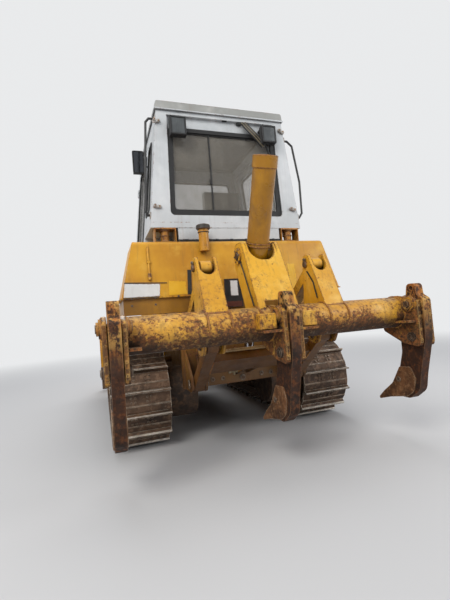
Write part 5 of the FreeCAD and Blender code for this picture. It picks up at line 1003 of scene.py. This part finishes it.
def tank_details():
    """Plate, dark lines, patches, lip bolts, filler grip, breather foot and lifting eyes of the fuel tank."""
    white = Kit('tank_plate', 'white_plate')
    lines = Kit('tank_lines', 'black_paint')
    patch = Kit('tank_patches', 'bright_yellow')
    bolts = Kit('tank_bolts', 'bolt')
    neck = Kit('filler_grip', 'cap_grey')
    foot = Kit('breather_foot', 'rust_small')
    eyes = Kit('tank_eyes', 'yellow_body')
    for kit, thick, corners in (
            (white, 0.003, ((-1.050, 1.520), (-0.752, 1.508), (-0.762, 1.400), (-1.066, 1.402))),
            (lines, 0.004, ((-1.054, 1.532), (-0.690, 1.518), (-0.690, 1.511), (-1.054, 1.524))),
            (lines, 0.004, ((-1.070, 1.401), (-0.770, 1.399), (-0.770, 1.395), (-1.070, 1.396))),
            (patch, 0.002, ((-0.670, 1.532), (-0.520, 1.524), (-0.515, 1.405), (-0.680, 1.405))),
            (patch, 0.002, ((0.520, 1.655), (0.600, 1.652), (0.608, 1.405), (0.530, 1.405)))):
        wall_plate(kit, corners, thick)
    lines.box((-0.92, -0.1505, 1.389), (0.30, 0.004, 0.006), 0)
    for x in [-1.0 + 0.2 * i for i in range(11)]:
        bolts.bolt((x, -0.1485, TANK_LIP_Z), BACKWARD, 0.008, 0.006)
        if abs(x) > 0.7:
            bolts.bolt((x, -0.125, 1.330), BACKWARD, 0.008, 0.006)
    for side, y in product(SIDES, (0.0, 0.15, 0.30)):
        bolts.bolt((side * 1.0935, y, TANK_LIP_Z), (side, 0, 0), 0.007, 0.006, False)
    for z, radius in ((1.962, 0.049), (2.030, 0.050)):
        neck.ring((*FILLER, z), Z_AXIS, radius, 0.004, 8, 32)
    for angle, x, y in round_spots(24, 0.061, *FILLER):
        neck.box((x, y, 2.011), (0.006, 0.006, 0.030), 0.001, turned(angle, 'Z'))
    foot.rod((-0.835, tank_wall_y(1.60) - 0.014, 1.600), (-0.835, tank_wall_y(1.575) - 0.014, 1.565),
             0.016, 6, 0.014)
    for side in SIDES:
        eyes.ring((side * 0.90, 0.15, TANK_TOP + 0.012), X_AXIS, 0.022, 0.007, 8, 24)
        eyes.box((side * 0.90, 0.15, TANK_TOP), (0.03, 0.06, 0.008))
    make(white, lines, patch, bolts, neck, foot, eyes)


def deck_details():
    """Tread pattern and side steps on the deck beside the cab."""
    tread = Kit('deck_tread', 'yellow_low')
    steps = Kit('deck_steps', 'black_paint')
    for side in SIDES:
        for i, j in product(range(9), range(3)):
            y = 0.52 + 0.12 * i + (0.06 if j % 2 else 0)
            tread.box((side * (0.90 + 0.055 * j), y, 1.386), (0.010, 0.045, 0.006), 0.001,
                      turned(0.7 if i % 2 else -0.7, 'Z'))
        steps.box((side * 1.075, 0.95, 1.275), (0.02, 0.30, 0.012))
        for y in (0.81, 1.09):
            steps.box((side * 1.068, y, 1.285), (0.008, 0.012, 0.03), 0.001)
    make(tread, steps)


# Cab

CAB_TOP = 3.25
CAB_LOW = 1.42


def cab_share(z):
    """Height as a share of the cab's: 0 at its foot, 1 at its top."""
    return (z - CAB_LOW) / (CAB_TOP - CAB_LOW)


def cab_rear_y(z):
    """Rear face of the cab at a height."""
    return 0.004 * cab_share(z)


def cab_half(z):
    """Half width of the cab at a height."""
    return 0.846 - 0.201 * cab_share(z)


def rear_window_details():
    """Sliding pane's frame with its latch, wiper with its washer pipe, and rubber strip on the rear wall."""
    pane = Kit('sliding_pane_frame', 'rubber')
    pane.box((-0.150, 0.034, 2.59), (0.014, 0.010, 0.75), 0.002, turned(math.radians(0.4), 'Y'))
    pane.box((0.0, 0.033, 2.216), (1.03, 0.010, 0.014))
    pane.box((0.0, 0.033, 2.968), (0.99, 0.010, 0.014))
    pane.box((-0.158, 0.026, 2.50), (0.024, 0.012, 0.05), 0.003)
    springs = Kit('wiper_springs', 'pipe_steel')
    wiper = Kit('rear_wiper', 'rubber')
    wiper.box((0.185, 0.028, 3.112), (0.050, 0.026, 0.030), 0.006)
    wiper.box((0.030, 0.020, 3.132), (0.050, 0.030, 0.016), 0.004)
    for kit, radius, path in (
            (wiper, 0.007, ((0.185, -0.010, 3.108), (0.30, -0.018, 2.985), (0.405, -0.018, 2.87))),
            (wiper, 0.006, ((0.213, -0.008, 3.118), (0.325, -0.018, 3.00), (0.43, -0.018, 2.885))),
            (wiper, 0.008, ((0.245, -0.004, 3.122), (0.36, -0.012, 3.005), (0.45, -0.010, 2.90),
                            (0.50, 0.0, 2.79))),
            (wiper, 0.007, ((0.405, -0.016, 3.05), (0.47, -0.016, 2.84), (0.515, -0.012, 2.64))),
            (wiper, 0.004, ((0.405, 0.004, 3.05), (0.47, 0.004, 2.84), (0.515, 0.008, 2.64))),
            (springs, 0.005, ((0.199, -0.014, 3.113), (0.313, -0.022, 2.992), (0.418, -0.022, 2.877))),
            (springs, 0.004, ((0.229, -0.012, 3.120), (0.342, -0.020, 3.002), (0.440, -0.018, 2.893)))):
        kit.tube(path, radius, 8)
    wiper.rod((0.405, 0.03, 3.05), (0.405, -0.026, 3.05), 0.016, 14)
    strip = Kit('skirt_rubber', 'rubber')
    strip.box((0, 0.018, 1.914), (1.07, 0.028, 0.030), 0.004)
    for i in range(7):
        strip.box((-0.45 + 0.15 * i, 0.0, 1.922), (0.03, 0.010, 0.018), 0.003)
    make(pane, springs, wiper, strip)


def rail_feet():
    """Worn clamps at the grab rails' ends, and the small latch brackets near them."""
    kit = Kit('rail_feet', 'bracket_grey')
    small = Kit('rail_bolts', 'rust_small')
    for side, high in ((1, 2.982), (-1, 3.085)):
        for z in (2.16, high):
            x = side * cab_half(z)
            kit.box((x + side * 0.004, 0.03, z), (0.008, 0.060, 0.056), 0.004)
            for dy, dz in ((0.018, 0.016), (-0.018, -0.016)):
                small.bolt((x + side * 0.008, 0.03 + dy, z + dz), (side, 0, 0), 0.006, 0.005, False)
    for x, z, lean in ((-0.660, 3.045, -0.25), (-0.705, 2.235, 0.1),
                       (0.640, 3.060, 0.45), (0.700, 2.235, 0.15)):
        kit.box((x, -0.010, z), (0.074, 0.018, 0.030), 0.005, turned(lean, 'Y'))
        kit.rod((x - 0.022, -0.014, z), (x - 0.022, -0.034, z + 0.008), 0.011, 12)
        small.bolt((x + 0.020, -0.018, z), BACKWARD, 0.008, 0.006, False)
        small.rod((x - 0.022, -0.030, z + 0.006), (x - 0.022, -0.040, z + 0.010), 0.006, 10)
    make(kit, small)


def lamp_rim(kit, centre, half_x, half_z, width, height, depth):
    """Four bars round a lamp's lens."""
    x, y, z = centre
    for sign in SIDES:
        kit.box((x, y, z + sign * half_z), (width, depth, 0.014), 0.003)
        kit.box((x + sign * half_x, y, z), (0.014, depth, height), 0.003)


def lamp_details():
    """Lenses, bezels, cooling fins and leads of the rear and front work lamps."""
    lens = Kit('lamp_lenses', 'lamp_lens')
    bezel = Kit('lamp_bezels', 'plastic')
    for side in SIDES:
        x = side * 0.468
        z = CAB_TOP - 0.262
        wall = cab_rear_y(z)
        y = wall - 0.075
        lens.box((x, y - 0.001, z), (0.122, 0.006, 0.144))
        for i in range(7):
            lens.box((x - 0.051 + 0.017 * i, y - 0.004, z), (0.003, 0.003, 0.140), 0.0008)
        lamp_rim(bezel, (x, y - 0.002, z), 0.069, 0.080, 0.150, 0.172, 0.014)
        for k in range(6):
            bezel.box((x, y + 0.020 + 0.008 * k, z), (0.154, 0.0035, 0.176), 0.001)
        bezel.tube([(x - 0.04, y + 0.05, z + 0.082), (x - 0.05, y + 0.085, z + 0.11),
                    (x - 0.03, wall + 0.03, z + 0.115)], 0.005, 8)
        x, y, z = side * 0.39, 2.94, 1.885
        lens.box((x, y + 0.001, z), (0.115, 0.006, 0.105))
        lamp_rim(bezel, (x, y + 0.003, z), 0.063, 0.058, 0.140, 0.130, 0.012)
    make(lens, bezel)


def cab_window_trim():
    """Window seals and front wipers on the cab, and the seals, handles and ribs of its doors."""
    front = Kit('front_window_seal', 'rubber')
    quarter = Kit('quarter_window_seals', 'rubber')

    def front_spot(x, z):
        return (x, 1.561 - 0.14 * cab_share(z), z)

    def side_seal(kit, side, corners, radius):
        path = [(side * (cab_half(z) + 0.001), y, z) for y, z in rounded(corners, radius)]
        kit.tube(path, 0.010, 8, True)

    corners = ((-0.640, 1.98), (0.640, 1.98), (0.555, 3.02), (-0.555, 3.02))
    front.tube([front_spot(x, z) for x, z in rounded(corners, 0.06)], 0.011, 8, True)
    for side in SIDES:
        arm = ((0.20, 2.02), (0.36, 2.35), (0.45, 2.60))
        front.tube([front_spot(side * x, z) for x, z in arm], 0.007, 8)
        front.rod(front_spot(side * 0.20, 2.02), (side * 0.20, 1.56, 2.02), 0.02, 12)
        side_seal(quarter, side, ((0.13, 2.24), (0.42, 2.24), (0.42, 2.94), (0.185, 2.94)), 0.05)
    make(front, quarter)
    for side, body in ((-1, 'left_door'), (1, 'right_door')):
        seal = Kit(body + '_window_seal', 'rubber', body)
        side_seal(seal, side, ((0.585, 2.05), (1.275, 2.05), (1.21, 2.975), (0.585, 2.975)), 0.06)
        handle = Kit(body + '_handle', 'black_paint', body)
        x = side * (cab_half(1.95) + 0.004)
        handle.box((x, 0.59, 1.95), (0.012, 0.07, 0.12), 0.004)
        grip = ((0, 1.99), (0.030, 1.985), (0.032, 1.915), (0, 1.91))
        handle.tube([(x + side * reach, 0.575, z) for reach, z in grip], 0.008, 10)
        handle.disc(x, side, 0, 0.012, (0.61, 1.93), 0.012, 14)
        ribs = Kit(body + '_ribs', 'white_cab', body)
        for y in (0.66, 1.20):
            ribs.box((side * (cab_half(1.75) + 0.003), y, 1.76), (0.008, 0.012, 0.40), 0.003,
                     turned(side * 0.11, 'Y'))
        ribs.box((side * (cab_half(1.62) + 0.003), 0.93, 1.60), (0.008, 0.50, 0.012), 0.003)
        make(seal, handle, ribs)


def roof_details():
    """Pressed ribs and the gutter of the cab's roof."""
    ribs = Kit('roof_ribs', 'roof_grey')
    for i in range(5):
        ribs.box((-0.40 + 0.20 * i, 0.71, CAB_TOP - 0.001), (0.05, 1.15, 0.012), 0.005)
    gutter = Kit('roof_gutter', 'white_cab')
    low = CAB_TOP - 0.080
    half = cab_half(low) + 0.014
    gutter.tube([(-half, -0.014, low), (half, -0.014, low), (half, 1.435, low), (-half, 1.435, low)],
                0.008, 8, True)
    make(ribs, gutter)


def mirror_details():
    """Glass, rim and clamp of the rear view mirror."""
    z = CAB_TOP - 0.46
    x = -(cab_half(z) + 0.110)
    glass = Kit('mirror_glass', 'mirror_dark')
    glass.box((x, 0.329, z), (0.092, 0.004, 0.210))
    rim = Kit('mirror_rim', 'rubber')
    corners = [(x + a * 0.053, z + b * 0.113) for a, b in ((-1, -1), (1, -1), (1, 1), (-1, 1))]
    rim.tube([(a, 0.332, b) for a, b in rounded(corners, 0.02)], 0.006, 8, True)
    rim.rod((x, 0.355, z), (x, 0.380, z), 0.018, 14)
    make(glass, rim)


def mount_rubbers():
    """Steel cups on the two rear cab mounts, and bolts on all four."""
    cups = Kit('mount_cups', 'rust_small')
    bolts = Kit('cab_mount_bolts', 'rust_small')
    high = 2.04
    for side in SIDES:
        x = side * 0.646
        for z, radius, thick in ((TANK_TOP + 0.016, 0.045, 0.010), ((TANK_TOP + high) / 2, 0.041, 0.006),
                                 (high - 0.018, 0.046, 0.010)):
            cups.ring((x, 0.060, z), Z_AXIS, radius, thick, 8, 28)
        for (y, z), shift in product(((0.0, TANK_TOP + 0.008), (1.34, 1.393)), (-0.075, 0.075)):
            bolts.bolt((x + shift, y, z), BACKWARD, 0.009, 0.007, False)
    make(cups, bolts)


# Front

GRILLE_Y = 2.866
GUARD_Y = 2.95
STACK = (0.230, 2.05)
AIR_CLEANER = (-0.200, 2.35)


def front_details():
    """Grille mesh, guard bolts, hood latches and seams, exhaust clamps and the air cleaner's ribs."""
    mesh = Kit('grille_mesh', 'dark_metal')
    for x in [-0.385 + 0.035 * i for i in range(23)]:
        mesh.rod((x, GRILLE_Y, 0.905), (x, GRILLE_Y, 1.665), 0.0025, 6)
    for z in [0.915 + 0.035 * i for i in range(22)]:
        mesh.rod((-0.405, GRILLE_Y, z), (0.405, GRILLE_Y, z), 0.0025, 6)
    bolts = Kit('guard_bolts', 'bolt')
    latch = Kit('hood_latches', 'black_paint')
    for side in SIDES:
        for i in range(8):
            bolts.bolt((side * 0.46, GUARD_Y, 0.68 + 0.15 * i), FORWARD, 0.011, 0.009)
        for i in range(6):
            bolts.bolt((side * 0.45, 1.72 + 0.2 * i, 1.475), (side, 0, 0), 0.007, 0.006)
        for y in (1.78, 2.60):
            latch.box((side * 0.456, y, 1.425), (0.012, 0.035, 0.060), 0.003)
            latch.rod((side * 0.462, y - 0.02, 1.44), (side * 0.462, y + 0.02, 1.44), 0.008, 12)
        for y in (1.9, 2.7):
            latch.rod((side * 0.456, y - 0.03, 1.452), (side * 0.456, y + 0.03, 1.452), 0.010, 12)
    for x in (-0.3, -0.1, 0.1, 0.3):
        bolts.bolt((x, GUARD_Y, 1.72), FORWARD, 0.011, 0.009)
    seam = Kit('hood_seams', 'yellow_body')
    arch = ((-0.452, 1.46), (-0.452, 1.70), (-0.405, 1.80), (0.0, 1.832), (0.405, 1.80), (0.452, 1.70),
            (0.452, 1.46))
    for y in (1.90, 2.58):
        seam.tube([(x, y, z) for x, z in arch], 0.005, 8)
    stack = Kit('exhaust_clamps', 'rust_small')
    for z in (1.90, 1.94, 2.28, 2.32):
        stack.ring((*STACK, z), Z_AXIS, 0.086, 0.006, 8, 36)
    stack.ring((*STACK, 2.37), Z_AXIS, 0.052, 0.006, 8, 28)
    stack.ring((*STACK, 2.60), Z_AXIS, 0.050, 0.004, 8, 28)
    bowl = Kit('air_cleaner_ribs', 'dark_metal')
    for z in (1.93, 2.00, 2.12):
        bowl.ring((*AIR_CLEANER, z), Z_AXIS, 0.111, 0.005, 8, 36)
    for angle, x, y in round_spots(16, 0.112, *AIR_CLEANER):
        bowl.box((x, y, 2.06), (0.004, 0.02, 0.08), 0.001, turned(angle, 'Z'))
    make(mesh, bolts, latch, seam, stack, bowl)


def blade_details():
    """Bolts along the cutting edge, stiffeners and weld beads on the blade's back."""
    bolts = Kit('edge_bolts', 'bolt', 'blade_unit')
    for i, (y, z) in product(range(18), ((3.953, 0.105), (3.948, 0.165))):
        bolts.bolt((-1.20 + 2.40 * i / 17, y, z), (0, 1, 0.12), 0.013, 0.006, False)
    ribs = Kit('blade_stiffeners', 'yellow_blade', 'blade_unit')
    for side, x in product(SIDES, (0.35, 0.50, 0.80, 0.95)):
        ribs.box((side * x, 3.745, 0.66), (0.014, 0.09, 0.20), 0.003)
    welds = Kit('blade_welds', 'weld', 'blade_unit')
    for z in (0.52, 0.25):
        welds.tube([(-1.17, 3.644, z), (0, 3.644, z + 0.001), (1.17, 3.644, z)], 0.006, 8)
    make(bolts, ribs, welds)


def cylinder_pipes():
    """Steel oil pipes with clamps along the blade's lift and tilt cylinders."""
    top = Vector((0, 2.20, 1.45))
    eye = Vector((0, 2.65, 0.60))
    axis = (eye - top).normalized()
    back = Vector((0, -axis.z, axis.y))
    lift = Kit('lift_pipes', 'yellow_body', 'lift_barrel_pair')
    path = ((-0.42, 0.05), (-0.42, 0.075), (-0.38, 0.085), (-0.10, 0.085), (0.20, 0.085), (0.24, 0.072),
            (0.24, 0.05))
    for side in SIDES:
        start = top + Vector((side * 0.63, 0, 0))
        lift.tube([start + axis * distance + back * out for distance, out in path], 0.009, 10)
        for distance in (-0.30, -0.10, 0.12):
            lift.ring(start + axis * distance, axis, 0.055, 0.004, 8, 28)
    tilt = Kit('tilt_pipes', 'yellow_body', 'tilt_barrel_unit')
    start = Vector((0.43, 3.56, 0.64))
    end = Vector((-0.23, 3.56, 0.80))
    along = (end - start).normalized()
    for distance in (0.09, 0.20, 0.385):
        tilt.ring(start + along * distance, along, 0.044, 0.004, 8, 28)
    path = ((0.10, 0.04), (0.10, 0.060), (0.34, 0.060), (0.34, 0.04))
    tilt.tube([start + along * distance + Vector((0, 0, height)) for distance, height in path], 0.007, 8)
    make(lift, tilt)


# Seat

SEAT_X = 0.120
SEWN_LINES = (-0.52, 0.0, 0.52)
SEWN_WIDTH = 0.045
SEWN_DEPTH = 0.007
MOST_SWELL = 0.022
SEAT_ROWS = 10
SEAT_FRAMES = 20


def soft_pad(name, outline, half, grooves):
    """Padded form swelled by air pressure from a smaller closed block, then pulled in at its sewn grooves."""
    mesh = bpy.data.meshes.new(name)
    bm = bmesh.new()
    rings = []
    count = len(outline)
    for i in range(SEAT_ROWS + 1):
        x = SEAT_X + (-1 + 2 * i / SEAT_ROWS) * half
        rings.append([bm.verts.new(at(x, y, z)) for y, z in outline])
    for a, b in zip(rings[:-1], rings[1:]):
        for k in range(count):
            bm.faces.new((a[k], a[(k + 1) % count], b[(k + 1) % count], b[k]))
    bm.faces.new(rings[0])
    bm.faces.new(list(reversed(rings[-1])))
    bmesh.ops.recalc_face_normals(bm, faces=bm.faces[:])
    bm.to_mesh(mesh)
    bm.free()
    obj = bpy.data.objects.new(name, mesh)
    bpy.context.scene.collection.objects.link(obj)
    view = bpy.context.view_layer
    view.objects.active = obj
    remesh = obj.modifiers.new('even', 'REMESH')
    remesh.mode = 'VOXEL'
    remesh.voxel_size = 0.009
    depsgraph = bpy.context.evaluated_depsgraph_get()
    even = bpy.data.meshes.new_from_object(obj.evaluated_get(depsgraph))
    obj.modifiers.clear()
    obj.data = even
    start = [vert.co.copy() for vert in even.vertices]
    cloth = obj.modifiers.new('air', 'CLOTH')
    cloth.settings.quality = 5
    cloth.settings.mass = 0.3
    cloth.settings.tension_stiffness = 22
    cloth.settings.compression_stiffness = 22
    cloth.settings.shear_stiffness = 12
    cloth.settings.use_pressure = True
    cloth.settings.uniform_pressure_force = 4.0
    cloth.settings.effector_weights.gravity = 0.0
    cloth.point_cache.frame_start = 1
    cloth.point_cache.frame_end = SEAT_FRAMES
    scene = bpy.context.scene
    for frame_number in range(1, SEAT_FRAMES + 1):
        scene.frame_set(frame_number)
    depsgraph = bpy.context.evaluated_depsgraph_get()
    swelled = bpy.data.meshes.new_from_object(obj.evaluated_get(depsgraph))
    obj.modifiers.clear()
    obj.data = swelled
    scene.frame_set(1)
    for vert, old in zip(obj.data.vertices, start):
        move = vert.co - old
        if move.length > MOST_SWELL:
            vert.co = old + move * (MOST_SWELL / move.length)
        pinch = min(abs((vert.co.x - SEAT_X) / half - groove) for groove in grooves)
        depth = max(0.0, 1 - pinch / SEWN_WIDTH)
        vert.co -= vert.normal * SEWN_DEPTH * depth * depth * (3 - 2 * depth)
    for face in obj.data.polygons:
        face.use_smooth = True
    obj.data.materials.clear()
    obj.data.materials.append(MATS['fabric'])
    smooth = obj.modifiers.new('smooth', 'SUBSURF')
    smooth.levels = 1
    smooth.render_levels = 1
    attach(obj, 'machine')
    return obj


def seat_pieces():
    """Seat cushion and back cushion with sewn channels, piping round their edges and a moulded shell."""
    base = ((0.655, 1.785), (0.970, 1.785), (0.992, 1.830), (0.985, 1.945), (0.940, 1.962), (0.660, 1.935))
    back = ((0.560, 1.90), (0.608, 1.90), (0.618, 2.10), (0.606, 2.40), (0.592, 2.580), (0.556, 2.580))
    cushion = soft_pad('seat_cushion', base, 0.196, SEWN_LINES)
    rest = soft_pad('seat_back', back, 0.200, SEWN_LINES)
    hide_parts('seat')
    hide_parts('seat')
    piping = Kit('seat_piping', 'rubber')
    shell = Kit('seat_shell', 'plastic')
    shell.box((SEAT_X, 0.538, 2.235), (0.405, 0.014, 0.70), 0.006)
    shell.box((SEAT_X, 0.80, 1.752), (0.36, 0.34, 0.04), 0.010)
    for side in SIDES:
        for outline, radius in ((base, 0.012), (back, 0.010)):
            path = [(SEAT_X + side * 0.203, y, z) for y, z in rounded(outline, radius, 3)]
            piping.tube(path, 0.004, 6, True)
        x = SEAT_X + side * 0.14
        shell.tube([(x, 0.545, 1.93), (x, 0.56, 1.80), (x, 0.66, 1.75)], 0.014, 10)
    make(piping, shell)


def sign_details():
    """Blank notice on the tank's rear wall with a pale field on it that is a painted highlight, its worn
    foot, and the greasy strip beside the arm.
    """
    y = -0.1515
    sign = Kit('sign_back', 'sign')
    sign.box((-0.081, y, 1.392), (0.176, 0.004, 0.262), 0.0008)
    # pale field on the black board: a painted highlight
    field = Kit('sign_field', 'white_plate')
    field.box((-0.074, y - 0.0024, 1.436), (0.072, 0.0024, 0.140), 0.0004)
    foot = Kit('sign_foot', 'red_brown')
    foot.box((-0.081, y - 0.0024, 1.290), (0.150, 0.0024, 0.046), 0.0004)
    strip = Kit('grease_strip', 'grease')
    wall_plate(strip, ((-0.494, 1.625), (-0.458, 1.625), (-0.475, 1.402), (-0.512, 1.402)), 0.004)
    make(sign, field, foot, strip)


for mat_name, nodes in NODE_MATS.items():
    for node in nodes:
        obj = bpy.data.objects[node]
        obj.data.materials.clear()
        obj.data.materials.append(MATS[mat_name])

for side, phase in ((-1, 0.0), (1, 0.2)):
    shoe_details(side, phase)
for details in (wheel_details, frame_details, ripper_details, ram_details, mount_details, link_details,
                tank_details, sign_details, deck_details, rear_window_details, rail_feet, lamp_details,
                cab_window_trim, roof_details, mirror_details, mount_rubbers, front_details, blade_details,
                cylinder_pipes, seat_pieces):
    details()

bpy.context.view_layer.update()
